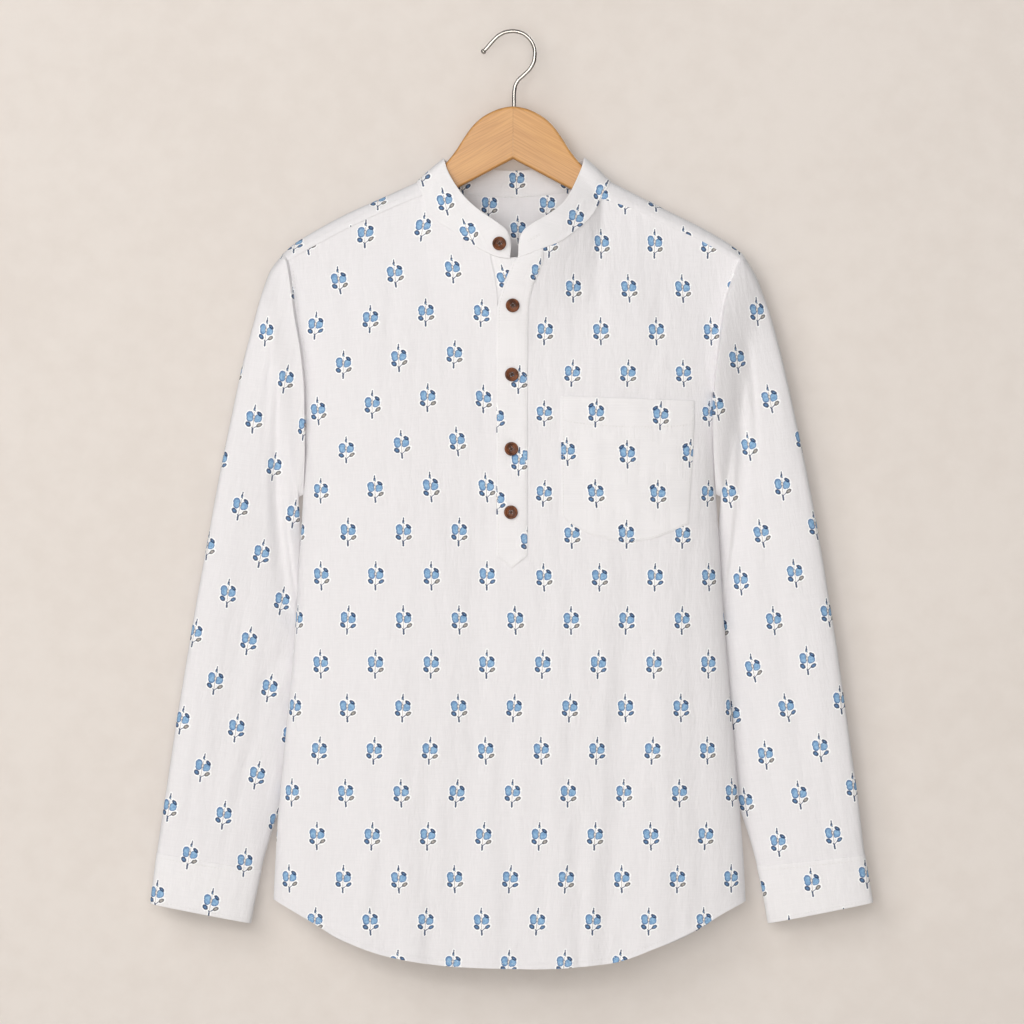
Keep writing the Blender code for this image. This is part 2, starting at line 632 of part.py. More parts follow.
def armhole_loop(side):
    """The armhole edge of the yoke, front and back, with each point's place in a ring."""
    turns = [90 * k / ARCH_STEPS for k in range(ARCH_STEPS + 1)]
    front = [arch_point(side, 1.0, -turn) for turn in turns]
    front += [front_point(2 * side, v) for v in front_levels()[-2:-ROWS_BESIDE_ARMHOLE - 2:-1]]
    back = [arch_point(side, 1.0, turn) for turn in turns]
    back += [back_point(side, v) for v in back_levels()[:-ROWS_BESIDE_ARMHOLE - 2:-1]]
    pit = (front[-1] + back[-1]) / 2
    front[-1] = pit
    back[-1] = pit
    loop = []
    for face, points in ((-1, front), (1, back)):
        top_z = points[0].z
        for i, point in enumerate(points):
            u_loop = (top_z - point.z) / (top_z - pit.z)
            u_even = (1 - cos(pi * i / (len(points) - 1))) / 2
            loop.append((u_loop, u_even, face, point))
    count = len(front)
    return loop[:count] + loop[:count - 1:-1]


def new_material(name, colour, roughness, metallic=0.0):
    material = bpy.data.materials.new(name)
    material.use_nodes = True
    shader = material.node_tree.nodes["Principled BSDF"]
    shader.inputs["Base Color"].default_value = (*colour, 1.0)
    shader.inputs["Roughness"].default_value = roughness
    shader.inputs["Metallic"].default_value = metallic
    return material


def new_collection(name):
    collection = bpy.data.collections.new(name)
    bpy.context.scene.collection.children.link(collection)
    return collection


def new_object(name, mesh, material, angle=50):
    mesh.shade_smooth()
    mesh.set_sharp_from_angle(angle=radians(angle))
    mesh.materials.append(material)
    item = bpy.data.objects.new(name, mesh)
    GARMENT.objects.link(item)
    return item


def sheet(name, columns, rows, place, wall, material, keep=None, outward=None):
    """A cloth panel: a grid whose points are placed by a function of their column and row,
    less the cells that keep refuses, and given its wall."""
    bm = bmesh.new()
    bmesh.ops.create_grid(bm, x_segments=columns, y_segments=rows, size=1.0)
    cells = {}
    for face in bm.faces:
        centre = face.calc_center_median()
        cells[face] = (int((centre.x + 1) / 2 * columns), int((centre.y + 1) / 2 * rows))
    if keep:
        gone = [face for face, cell in cells.items() if not keep(*cell)]
        bmesh.ops.delete(bm, geom=gone, context="FACES")
    for vert in bm.verts:
        i = round((vert.co.x + 1) / 2 * columns)
        j = round((vert.co.y + 1) / 2 * rows)
        vert.co = Vector(place(i, j)) * MM
    bmesh.ops.remove_doubles(bm, verts=bm.verts, dist=WELD)
    bmesh.ops.recalc_face_normals(bm, faces=bm.faces)
    bm.faces.ensure_lookup_table()
    probe = max(bm.faces, key=lambda face: face.calc_center_median().dot(Vector(outward)))
    if probe.normal.dot(Vector(outward)) < 0:
        bmesh.ops.reverse_faces(bm, faces=bm.faces)
    mesh = bpy.data.meshes.new(name)
    bm.to_mesh(mesh)
    bm.free()
    item = new_object(name, mesh, material)
    solid = item.modifiers.new("wall", "SOLIDIFY")
    solid.thickness = wall * MM
    solid.offset = 0.0
    solid.use_even_offset = True
    return item


def make_front(material):
    columns = front_columns()
    levels = front_levels()

    def place(i, j):
        return front_point(columns[i], levels[j])

    def keep(i, j):
        return not (abs(columns[i] + columns[i + 1]) < 2 and j >= ROWS_BELOW_SLOT)

    sheet("front", len(columns) - 1, len(levels) - 1, place, WALL, material, keep, (0, -1, 0))


def make_back(material):
    columns = back_columns()
    levels = back_levels()

    def place(i, j):
        return back_point(columns[i], levels[j])

    sheet("back", len(columns) - 1, len(levels) - 1, place, WALL, material, outward=(0, 1, 0))


def make_yoke(material):
    side = YOKE_SIDE_COLUMNS
    middle = YOKE_MIDDLE_COLUMNS
    arch = 2 * ARCH_STEPS
    neck_x = SHOULDER[LEFT][0].back_x

    def place(i, j):
        turn = lerp(-90, 90, min(1.0, j / arch))
        drop = max(0, j - arch) / YOKE_DROP_ROWS
        if side <= i <= side + middle and j >= arch:
            return yoke_middle(lerp(-neck_x, neck_x, (i - side) / middle), drop)
        face = LEFT if i <= side else RIGHT
        f = (side - i if face == LEFT else i - side - middle) / side
        if drop > 0:
            return yoke_drop(face, f, drop)
        point = arch_point(face, f, turn)
        return point + Vector((0, 0, SEAM if j == 0 else 0))

    def keep(i, j):
        return j >= arch or not side <= i < side + middle

    sheet("yoke", 2 * side + middle, arch + YOKE_DROP_ROWS, place, WALL, material, keep, (0, 1, 0))


def tube(name, rings, wall, side, material):
    """A closed tube of cloth through rings of points."""
    count = len(rings[0])

    def place(i, j):
        return rings[j][i % count]

    sheet(name, count, len(rings) - 1, place, wall, material, outward=(side, 0, 0))


def drawn_in(ring, beside):
    """A ring pulled half a seam's gap towards the one beside it."""
    return [a + (b - a).normalized() * SEAM / 2 for a, b in zip(ring, beside)]


def make_sleeve(name, side, material):
    loop = armhole_loop(side)
    rings = [sleeve_ring(side, k / SLEEVE_RINGS, loop) for k in range(SLEEVE_RINGS + 1)]
    for k, (share, _, _, point) in enumerate(loop):
        out = Vector((side * UNDERARM_GAP * ease(2 * share), 0, 0))
        rings[0][k] = point + (rings[1][k] - point).normalized() * ARMHOLE_SEAM + out
    rings[-1] = drawn_in(rings[-1], rings[-2])
    tube(name, rings, WALL, side, material)


def make_cuff(name, side, material):
    loop = armhole_loop(side)
    times = [lerp(1.0, CUFF_END, k / CUFF_RINGS) for k in range(CUFF_RINGS + 1)]
    rings = [sleeve_ring(side, t, loop) for t in times]
    rings[0] = drawn_in(rings[0], rings[1])
    tube(name, rings, CUFF_WALL, side, material)


def collar_point(at, up):
    """A point of the collar band: at counts table rows, up runs from its seam to its top."""
    base = Vector([along_rows(COLLAR, "base_" + axis, at) for axis in "xyz"])
    top = Vector([along_rows(COLLAR, "top_" + axis, at) for axis in "xyz"])
    return base.lerp(top, up)


def make_collar(material):
    last = len(COLLAR) - 1

    def place(i, j):
        up = lerp(COLLAR_FOOT, 1.0, j / COLLAR_ROWS)
        return collar_point(last * i / COLLAR_COLUMNS, up)

    sheet("collar_band", COLLAR_COLUMNS, COLLAR_ROWS, place, COLLAR_WALL, material, outward=(0, -1, 0))


def make_upper_strip(material):
    columns = 4
    rows = 14

    def place(i, j):
        s = i / columns
        point = lerp(UPPER_STRIP_SHOULDER_Z, UPPER_STRIP_POINT_Z, 1 - abs(2 * s - 1))
        z = lerp(point, UPPER_STRIP_TOP_Z, j / rows)
        x = lerp(look_up(UPPER_STRIP, "z", "left", z), look_up(UPPER_STRIP, "z", "right", z), s)
        return on_front(x, z, WALL + LAID_ON)[0]

    sheet("placket_upper", columns, rows, place, WALL, material, outward=(0, -1, 0))


def make_under_strip(material):
    columns = 4
    rows = 13

    def place(i, j):
        z = lerp(UNDER_STRIP_BOTTOM_Z, UNDER_STRIP_TOP_Z, j / rows)
        x = slot_edge(LEFT, z) - UNDER_STRIP_TUCK + UNDER_STRIP_WIDTH * i / columns
        return on_front(x, z, -(WALL + LAID_ON))[0]

    sheet("placket_under", columns, rows, place, WALL, material, outward=(0, -1, 0))


def make_pocket(material):
    columns = 12
    rows = 9

    def place(i, j):
        s = i / columns
        v = j / rows
        z = POCKET_TOP[0].z
        for _ in range(SETTLE_STEPS):
            x = lerp(
                look_up(POCKET_SIDE, "z", "left", z), look_up(POCKET_SIDE, "z", "right", z), s
            )
            z = lerp(look_up(POCKET_BOTTOM, "x", "z", x), look_up(POCKET_TOP, "x", "z", x), v)
        return on_front(x, z, (WALL + POCKET_WALL) / 2 + POCKET_LIFT)[0]

    sheet("pocket", columns, rows, place, POCKET_WALL, material, outward=(0, -1, 0))


def make_button(name, seat, normal, material):
    """A turned disc with its back on the seat."""
    profile = [(turn.radius * MM, 0, turn.height * MM) for turn in BUTTON_PROFILE]
    mesh = bpy.data.meshes.new(name)
    mesh.from_pydata(profile, [(k, k + 1) for k in range(len(profile) - 1)], [])
    mesh.materials.append(material)
    item = bpy.data.objects.new(name, mesh)
    GARMENT.objects.link(item)
    item.location = (seat + normal * BUTTON_BACK) * MM
    item.rotation_euler = normal.to_track_quat("Z", "Y").to_euler()
    turned = item.modifiers.new("turned", "SCREW")
    turned.steps = BUTTON_SIDES
    turned.render_steps = BUTTON_SIDES
    turned.use_merge_vertices = True
    turned.merge_threshold = WELD
    turned.use_smooth_shade = True


def collar_spot(x, z):
    """The place on the collar's left front end that is nearest to a place in the front view."""
    rows = 3
    steps = 60
    spots = [(rows * i / steps, j / steps) for i in range(steps + 1) for j in range(steps + 1)]

    def miss(spot):
        point = collar_point(*spot)
        return hypot(point.x - x, point.z - z)

    return min(spots, key=miss)


def make_buttons(material):
    rest = 1.5 * WALL + LAID_ON + SEAM
    for button in BUTTONS:
        seat, normal = on_front(button.x, button.z, rest)
        make_button(button.name, seat, normal, material)
    at, up = collar_spot(COLLAR_BUTTON_X, COLLAR_BUTTON_Z)
    step = 0.2
    run = collar_point(at + step, up) - collar_point(at - step, up)
    rise = collar_point(at, 1.0) - collar_point(at, 0.0)
    normal = run.cross(rise).normalized()
    if normal.y > 0:
        normal = -normal
    seat = collar_point(at, up) + normal * (COLLAR_WALL / 2 + LAID_ON)
    make_button("button_collar", seat, normal, material)


def hanger_outline():
    """The hanger's front view, from the joint out along one arm and back, for both arms."""
    halves = {}
    for side in (LEFT, RIGHT):
        top = [(side * p.x, p.z) for p in DOME]
        for x in ARM_TOP_X + [ARM_TIP_X]:
            top.append((side * x, look_up(SHOULDER[side], "ridge_x", "ridge_z", x) - ARM_SEAT))
        tip_x, tip_z = top.pop()
        top += [(tip_x - side * tip.inward, tip_z - tip.down) for tip in ARM_TIP]
        top.append((side * NOTCH_END_X, NOTCH_Z - NOTCH_SLOPE * NOTCH_END_X))
        halves[side] = top
    lower = [(0.0, NOTCH_Z)]
    return halves[RIGHT] + lower + halves[LEFT][:0:-1]


def curve_mesh(curve):
    """The mesh of a curve's evaluated shape, with its caps welded on."""
    guide = bpy.data.objects.new("guide", curve)
    CUTTERS.objects.link(guide)
    bpy.context.view_layer.update()
    graph = bpy.context.evaluated_depsgraph_get()
    mesh = bpy.data.meshes.new_from_object(guide.evaluated_get(graph))
    bpy.data.objects.remove(guide, do_unlink=True)
    bm = bmesh.new()
    bm.from_mesh(mesh)
    bmesh.ops.remove_doubles(bm, verts=bm.verts, dist=WELD)
    bmesh.ops.recalc_face_normals(bm, faces=bm.faces)
    bm.to_mesh(mesh)
    bm.free()
    return mesh


def poly_curve(name, points, dimensions, closed):
    curve = bpy.data.curves.new(name, "CURVE")
    curve.dimensions = dimensions
    spline = curve.splines.new("POLY")
    spline.points.add(len(points) - 1)
    for spot, point in zip(spline.points, points):
        spot.co = (*[value * MM for value in point], 1.0)
    spline.use_cyclic_u = closed
    return curve


def make_hanger(material):
    curve = poly_curve("hanger", [(x, z, 0.0) for x, z in hanger_outline()], "2D", True)
    curve.fill_mode = "BOTH"
    curve.extrude = (HANGER_THICKNESS / 2 - HANGER_ROUND) * MM
    curve.bevel_depth = HANGER_ROUND * MM
    curve.bevel_resolution = 2
    curve.offset = -HANGER_ROUND * MM
    whole = curve_mesh(curve)

    bpy.ops.mesh.primitive_cylinder_add(
        vertices=HOOK_SIDES,
        radius=HOOK_HOLE_RADIUS * MM,
        depth=2 * HOOK_HOLE_DEPTH * MM,
        location=(HOOK_STEM_X * MM, 0, DOME[0].z * MM),
    )
    drill = bpy.context.object
    drill.name = "stem_hole"
    for collection in list(drill.users_collection):
        collection.objects.unlink(drill)
    CUTTERS.objects.link(drill)
    drill.hide_render = True
    drill.display_type = "WIRE"

    for side, name in ((LEFT, "hanger_arm_left"), (RIGHT, "hanger_arm_right")):
        bm = bmesh.new()
        bm.from_mesh(whole)
        for vert in bm.verts:
            vert.co = (vert.co.x, -vert.co.z, vert.co.y)
        bmesh.ops.bisect_plane(
            bm,
            geom=bm.verts[:] + bm.edges[:] + bm.faces[:],
            dist=WELD,
            plane_co=(side * HANGER_JOINT * MM, 0, 0),
            plane_no=(-side, 0, 0),
            clear_outer=True,
        )
        rim = [edge for edge in bm.edges if edge.is_boundary]
        bmesh.ops.contextual_create(bm, geom=rim)
        bmesh.ops.recalc_face_normals(bm, faces=bm.faces)
        mesh = bpy.data.meshes.new(name)
        bm.to_mesh(mesh)
        bm.free()
        arm = new_object(name, mesh, material, 40)
        hole = arm.modifiers.new("stem hole", "BOOLEAN")
        hole.operation = "DIFFERENCE"
        hole.object = drill
    bpy.data.meshes.remove(whole)


def make_hook(material):
    count = (len(HOOK) - 1) * HOOK_STEPS
    points = []
    for k in range(count + 1):
        at = k / HOOK_STEPS
        points.append((along_rows(HOOK, "x", at), 0.0, along_rows(HOOK, "z", at)))
    points[-1] = (HOOK_STEM_X, 0.0, DOME[0].z - HOOK_HOLE_DEPTH + HOOK_SEAT)
    curve = poly_curve("hook", points, "3D", False)
    curve.bevel_depth = HOOK_RADIUS * MM
    curve.bevel_resolution = 2
    curve.use_fill_caps = True
    item = bpy.data.objects.new("hook", curve)
    curve.materials.append(material)
    GARMENT.objects.link(item)


for item in list(bpy.data.objects):
    bpy.data.objects.remove(item, do_unlink=True)
GARMENT = new_collection("kurta_tunic")
CUTTERS = new_collection("cutters")

cotton = new_material("printed cotton", (0.84, 0.84, 0.83), 0.9)
interlined = new_material("interlined cotton", (0.86, 0.86, 0.86), 0.9)
horn = new_material("brown button", (0.12, 0.04, 0.015), 0.35)
beech = new_material("varnished beech", (0.66, 0.38, 0.17), 0.4)
steel = new_material("polished steel", (0.6, 0.6, 0.6), 0.25, 1.0)

make_hook(steel)
make_hanger(beech)
make_front(cotton)
make_back(cotton)
make_yoke(cotton)
make_sleeve("sleeve_left", LEFT, cotton)
make_sleeve("sleeve_right", RIGHT, cotton)
make_cuff("cuff_left", LEFT, interlined)
make_cuff("cuff_right", RIGHT, interlined)
make_collar(interlined)
make_upper_strip(interlined)
make_under_strip(interlined)
make_pocket(cotton)
make_buttons(horn)
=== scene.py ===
from collections import namedtuple
from math import atan2, cos, pi, radians, sin, sqrt

import bmesh
import bpy
import numpy as np
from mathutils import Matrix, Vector


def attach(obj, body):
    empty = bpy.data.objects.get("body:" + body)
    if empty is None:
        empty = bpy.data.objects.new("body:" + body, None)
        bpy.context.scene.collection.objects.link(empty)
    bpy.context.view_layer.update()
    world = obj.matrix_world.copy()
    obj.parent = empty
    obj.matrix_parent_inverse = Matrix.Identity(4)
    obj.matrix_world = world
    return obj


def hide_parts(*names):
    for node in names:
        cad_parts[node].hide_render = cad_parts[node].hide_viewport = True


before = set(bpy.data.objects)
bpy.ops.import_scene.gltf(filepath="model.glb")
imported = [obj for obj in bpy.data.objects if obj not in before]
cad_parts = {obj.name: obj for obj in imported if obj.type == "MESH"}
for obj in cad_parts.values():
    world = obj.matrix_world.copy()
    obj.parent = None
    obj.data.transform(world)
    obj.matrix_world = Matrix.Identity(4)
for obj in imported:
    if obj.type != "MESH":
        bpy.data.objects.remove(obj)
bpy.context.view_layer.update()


# View, backdrop and light. The garment hangs flat against a pale wall and is seen square on
# from far off, so near and far parts keep one scale. Soft daylight comes from the upper left.
MM = 0.001
PHOTO_SIDE = 1024
PHOTO_SCALE = 0.96
HOOK_PIXEL = (513, 31.6)
CAMERA_AWAY = 6.0
CLOTH_AWAY = 0.02
SENSOR = 36.0
WALL_BEHIND = 0.036
FLOOR_Z = -1.35
STAGE_SIDE = 12.0
GARMENT_MIDDLE = Vector((0, 0, -0.46))
WALL_COLOUR = (0.755, 0.700, 0.656, 1)
WALL_FLECK = (0.728, 0.670, 0.624, 1)
FLOOR_COLOUR = (0.78, 0.75, 0.71, 1)
SKY_COLOUR = (1.0, 0.985, 0.965, 1)
SKY_LOW = (0.35, 0.34, 0.33, 1)
SKY_STRENGTH = 0.30
Lamp = namedtuple("Lamp", "name place size power colour")
LAMPS = [
    Lamp("key", (-2.7, -4.1, 1.9), 3.2, 97, (1.0, 0.985, 0.965)),
    Lamp("fill", (-0.5, -5.2, 0.0), 2.6, 121, (1.0, 0.99, 0.98)),
    Lamp("back", (1.6, 3.2, 1.2), 2.0, 50, (1.0, 0.99, 0.97)),
]


class Wire:
    """A shader socket that Python's signs work on: each sign adds its Math node."""

    def __init__(self, tree, socket=None):
        self.tree = tree
        self.socket = socket

    def node(self, kind, settings=None, values=None, out=0):
        """Any node: its settings are made first, then the values or links of its sockets."""
        item = self.tree.nodes.new(kind)
        for name, value in (settings or {}).items():
            if name == "stops":
                for _ in value[2:]:
                    item.color_ramp.elements.new(0.5)
                for stop, (place, colour) in zip(item.color_ramp.elements, value):
                    stop.position = place
                    stop.color = colour
            else:
                setattr(item, name, value)
        for name, value in (values or {}).items():
            if isinstance(value, Wire):
                self.tree.links.new(value.socket, item.inputs[name])
            else:
                item.inputs[name].default_value = value
        return Wire(self.tree, item.outputs[out])

    def math(self, operation, *values):
        return self.node("ShaderNodeMath", {"operation": operation}, dict(enumerate(values)))

    def vector(self, operation, *values, out=0):
        settings = {"operation": operation}
        return self.node("ShaderNodeVectorMath", settings, dict(enumerate(values)), out)

    def blend(self, factor, below, above):
        """Colour above laid over colour below by a factor."""
        return self.node("ShaderNodeMix", {"data_type": "RGBA"}, {0: factor, 6: below, 7: above}, 2)

    def fade(self, low, high):
        """1 below low, 0 above high and soft between."""
        values = {"Value": self, "From Min": low, "From Max": high, "To Min": 1.0, "To Max": 0.0}
        return self.node("ShaderNodeMapRange", {"interpolation_type": "SMOOTHSTEP"}, values)

    def part(self, axis):
        return self.node("ShaderNodeSeparateXYZ", None, {0: self}, axis)

    def noise(self, place, scale, detail, out=0, **more):
        values = {"Vector": place, "Scale": scale, "Detail": detail, **more}
        return self.node("ShaderNodeTexNoise", None, values, out)

    def bump(self, height, distance, strength=1.0, **more):
        """A bump by its height and its distance in metres, over one given as Normal."""
        values = {"Strength": strength, "Distance": distance, "Height": height, **more}
        return self.node("ShaderNodeBump", None, values)

    def into(self, shader, name):
        """Link this value to a socket of a shader."""
        self.tree.links.new(self.socket, shader.inputs[name])

    def __add__(self, other):
        return self.math("ADD", self, other)

    def __radd__(self, other):
        return self.math("ADD", other, self)

    def __sub__(self, other):
        return self.math("SUBTRACT", self, other)

    def __rsub__(self, other):
        return self.math("SUBTRACT", other, self)

    def __mul__(self, other):
        return self.math("MULTIPLY", self, other)

    def __rmul__(self, other):
        return self.math("MULTIPLY", other, self)

    def __truediv__(self, other):
        return self.math("DIVIDE", self, other)

    def __neg__(self):
        return self.math("MULTIPLY", self, -1.0)


def new_material(name, constants):
    """A material, the name of each shader socket that stays the same all over, and a wire."""
    material = bpy.data.materials.new(name)
    material.use_nodes = True
    shader = material.node_tree.nodes["Principled BSDF"]
    for socket, value in constants.items():
        shader.inputs[socket].default_value = value
    return material, shader, Wire(material.node_tree)


def stage_plane(name, place, turn, colour):
    bpy.ops.object.select_all(action="DESELECT")
    bpy.ops.mesh.primitive_plane_add(size=STAGE_SIDE, location=place, rotation=turn)
    plane = bpy.context.object
    plane.name = name
    material, _, _ = new_material(name, {"Base Color": colour, "Roughness": 0.9})
    plane.data.materials.append(material)
    return plane, material


middle_x = (PHOTO_SIDE / 2 - HOOK_PIXEL[0]) * PHOTO_SCALE * MM
middle_z = (HOOK_PIXEL[1] - PHOTO_SIDE / 2) * PHOTO_SCALE * MM
bpy.ops.object.select_all(action="DESELECT")
bpy.ops.object.camera_add(location=(middle_x, -CAMERA_AWAY, middle_z), rotation=(pi / 2, 0, 0))
camera = bpy.context.object
camera.data.sensor_width = SENSOR
camera.data.lens = SENSOR * (CAMERA_AWAY - CLOTH_AWAY) / (PHOTO_SIDE * PHOTO_SCALE * MM)
camera.data.clip_end = 100
bpy.context.scene.camera = camera
bpy.context.scene.view_settings.view_transform = "Standard"

stage_plane("floor", (0, 0, FLOOR_Z), (0, 0, 0), FLOOR_COLOUR)

# The backdrop is one-sided: from behind the garment nothing stands in the way
backdrop, plaster = stage_plane("backdrop", (0, WALL_BEHIND, 0), (pi / 2, 0, 0), WALL_COLOUR)
wire = Wire(plaster.node_tree)
shader = plaster.node_tree.nodes["Principled BSDF"]
place = wire.node("ShaderNodeTexCoord", out=3)
trowel = wire.noise(place, 42.0, 8.0)
cloud = wire.noise(place, 5.0, 3.0)
fleck = (trowel * 0.5 + cloud * 0.5).fade(0.36, 0.62)
wire.blend(fleck, WALL_COLOUR, WALL_FLECK).into(shader, "Base Color")
wire.bump(trowel, 0.0015, 0.5).into(shader, "Normal")
behind = wire.node("ShaderNodeNewGeometry", out=6)
clear = wire.node("ShaderNodeBsdfTransparent")
solid = Wire(wire.tree, shader.outputs[0])
one_sided = wire.node("ShaderNodeMixShader", None, {0: behind, 1: solid, 2: clear})
one_sided.into(plaster.node_tree.nodes["Material Output"], "Surface")
backdrop.visible_shadow = False
backdrop.visible_diffuse = False
backdrop.visible_glossy = False
backdrop.visible_transmission = False

for lamp in LAMPS:
    aim = (GARMENT_MIDDLE - Vector(lamp.place)).to_track_quat("-Z", "Y").to_euler()
    bpy.ops.object.light_add(type="AREA", location=lamp.place, rotation=aim)
    light = bpy.context.object
    light.name = lamp.name
    light.data.size = lamp.size
    light.data.energy = lamp.power
    light.data.color = lamp.colour

world = bpy.data.worlds.new("studio")
world.use_nodes = True
sky = world.node_tree.nodes["Background"]
sky.inputs["Strength"].default_value = SKY_STRENGTH
wire = Wire(world.node_tree)
height = wire.node("ShaderNodeTexCoord").part(2)
wire.blend(height.fade(-0.5, 0.6), SKY_COLOUR, SKY_LOW).into(sky, "Color")
bpy.context.scene.world = world


# Hook: one bright steel wire bent to a question mark, with a small round cap pressed on its
# free end. Its straight stem goes down into the hanger's joint.
HOOK_RADIUS = 1.9
HOOK_STEPS = 8
HOOK_STEM_END = (1.0, -97.3)
CAP_RADIUS = 2.7
CAP_LENGTH = 4.2
STEEL_COLOUR = (0.44, 0.41, 0.375, 1)
Bend = namedtuple("Bend", "x z")
HOOK = [
    Bend(-28.4, -17.7), Bend(-24.2, -13.2), Bend(-19.2, -7.4), Bend(-13.2, -1.9),
    Bend(-6.8, 1.1), Bend(0.0, 2.0), Bend(7.6, 0.6), Bend(14.2, -3.5), Bend(19.0, -9.8),
    Bend(21.1, -17.5), Bend(20.4, -26.0), Bend(16.6, -34.0), Bend(10.4, -40.4),
    Bend(4.6, -46.0), Bend(1.6, -53.0), Bend(1.0, -61.0), Bend(1.0, -80.0),
]


def lerp(a, b, t):
    return a + (b - a) * t


def ease(t):
    t = np.clip(t, 0.0, 1.0)
    return t * t * (3.0 - 2.0 * t)


def smooth(keys, values, at):
    """Smooth curve through rows without overshoot, held level beyond its ends."""
    keys = np.array(keys, float)
    values = np.array(values, float)
    secant = np.diff(values) / np.diff(keys)
    before, after = secant[:-1], secant[1:]
    same = before * after > 0
    total = np.where(same, before + after, 1.0)
    slope = np.concatenate(([secant[0]], np.where(same, 2 * before * after / total, 0), [secant[-1]]))
    at = np.clip(at, keys[0], keys[-1])
    i = np.clip(np.searchsorted(keys, at, side="right") - 1, 0, len(keys) - 2)
    span = keys[i + 1] - keys[i]
    t = (at - keys[i]) / span
    return (
        values[i] * (1 + 2 * t) * (1 - t) ** 2
        + slope[i] * span * t * (1 - t) ** 2
        + values[i + 1] * t * t * (3 - 2 * t)
        - slope[i + 1] * span * t * t * (1 - t)
    )


def look_up(table, key, column, at):
    """Read a column of a table at values of its key column."""
    rows = sorted(table, key=lambda row: getattr(row, key))
    return smooth([getattr(r, key) for r in rows], [getattr(r, column) for r in rows], at)


def along_rows(table, column, at):
    """Read a column at places between rows, counted from the first row."""
    return smooth(range(len(table)), [getattr(row, column) for row in table], at)


def pick(*items):
    """Select these objects alone and make the first one active."""
    bpy.ops.object.select_all(action="DESELECT")
    for item in items:
        item.select_set(True)
    bpy.context.view_layer.objects.active = items[0]


def add_object(name, data):
    """A new object of a mesh or curve, selected alone."""
    item = bpy.data.objects.new(name, data)
    bpy.context.scene.collection.objects.link(item)
    pick(item)
    return item


def poly_line(name, dimensions, points):
    """A curve that runs straight from point to point, given in mm."""
    curve = bpy.data.curves.new(name, "CURVE")
    curve.dimensions = dimensions
    spline = curve.splines.new("POLY")
    spline.points.add(len(points) - 1)
    for spot, point in zip(spline.points, points):
        spot.co = (*[value * MM for value in point], 1.0)
    return curve


def settle_piece(item, slot, *nodes):
    """Every piece of the garment rides on its one body and stands for its solids."""
    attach(item, "root")
    if nodes:
        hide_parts(*nodes)


steel, shader, wire = new_material("steel_wire", {"Metallic": 1.0, "Base Color": STEEL_COLOUR})
place = wire.node("ShaderNodeTexCoord", out=3)
drawn = wire.noise(place, 900.0, 3.0)
(drawn * 0.12 + 0.14).into(shader, "Roughness")

steps = np.linspace(0, len(HOOK) - 1, (len(HOOK) - 1) * HOOK_STEPS + 1)
hook_points = [(x, 0.0, z) for x, z in zip(along_rows(HOOK, "x", steps), along_rows(HOOK, "z", steps))]
hook_points[-1] = (HOOK_STEM_END[0], 0.0, HOOK_STEM_END[1])
line = poly_line("hook_wire", "3D", hook_points)
line.bevel_depth = HOOK_RADIUS * MM
line.bevel_resolution = 6
line.use_fill_caps = True
add_object("hook_wire", line)
bpy.ops.object.convert(target="MESH")
hook_wire = bpy.context.object
hook_wire.data.materials.clear()
hook_wire.data.materials.append(steel)
bpy.ops.object.shade_smooth_by_angle(angle=radians(40))
settle_piece(hook_wire, "hook_steel", "hook")

tip = Vector(hook_points[0]) * MM
run = (tip - Vector(hook_points[1]) * MM).normalized()
bpy.ops.object.select_all(action="DESELECT")
bpy.ops.mesh.primitive_uv_sphere_add(segments=24, ring_count=12, radius=CAP_RADIUS * MM)
hook_cap = bpy.context.object
hook_cap.name = "hook_cap"
hook_cap.scale = (1, 1, CAP_LENGTH / (2 * CAP_RADIUS))
hook_cap.rotation_euler = run.to_track_quat("Z", "Y").to_euler()
hook_cap.location = tip
bpy.ops.object.transform_apply()
bpy.ops.object.shade_smooth()
hook_cap.data.materials.append(steel)
settle_piece(hook_cap, "hook_steel")


# Hanger: two shaped arms of beech glued in a mitre under the hook and varnished. The grain
# runs down each arm, so it meets in a chevron at the joint.
HANGER_THICKNESS = 11.0
HANGER_ROUND = 2.6
HANGER_JOINT = 0.05
DOME_STEPS = 3
ARM_SEAT = 1.5
ARM_TIP_X = 211.0
ARM_FROM_X = 102.0
ARM_PAST_JOINT = 12.0
MERGE_NEAR = 0.00001
NOTCH_Z = -121.2
NOTCH_SLOPE = 0.526
NOTCH_END_X = 89.7
GRAIN_SLOPE = radians(29)
BEECH_LIGHT = (0.660, 0.347, 0.118, 1)
BEECH_MIDDLE = (0.578, 0.284, 0.085, 1)
BEECH_DARK = (0.400, 0.178, 0.052, 1)
LEFT = -1
RIGHT = 1
Outline = namedtuple("Outline", "x z")
DOME = [
    Outline(0.0, -70.6), Outline(6.0, -71.3), Outline(13.9, -73.2), Outline(18.9, -75.2),
    Outline(24.6, -78.0), Outline(29.4, -81.0), Outline(34.2, -84.9), Outline(38.9, -89.7),
    Outline(42.7, -94.5), Outline(46.6, -100.2), Outline(50.4, -106.0), Outline(53.9, -111.7),
    Outline(58.1, -117.5), Outline(66.0, -127.0), Outline(73.5, -134.6), Outline(82.5, -141.2),
    Outline(92.0, -146.8),
]
RIDGE = {
    LEFT: [
        Outline(91.2, -143.4), Outline(123.8, -158.2), Outline(158.4, -173.7),
        Outline(184.3, -187.4), Outline(209.7, -202.8), Outline(221.0, -212.5),
    ],
    RIGHT: [
        Outline(92.6, -143.0), Outline(119.0, -156.3), Outline(146.9, -170.5),
        Outline(182.4, -188.3), Outline(209.3, -204.2), Outline(221.5, -213.5),
    ],
}
Tip = namedtuple("Tip", "inward down")
ARM_TIP = [Tip(1.8, -0.3), Tip(0.3, 0.7), Tip(0.0, 3.6), Tip(0.0, 15.0), Tip(1.6, 18.6), Tip(6.0, 19.8)]

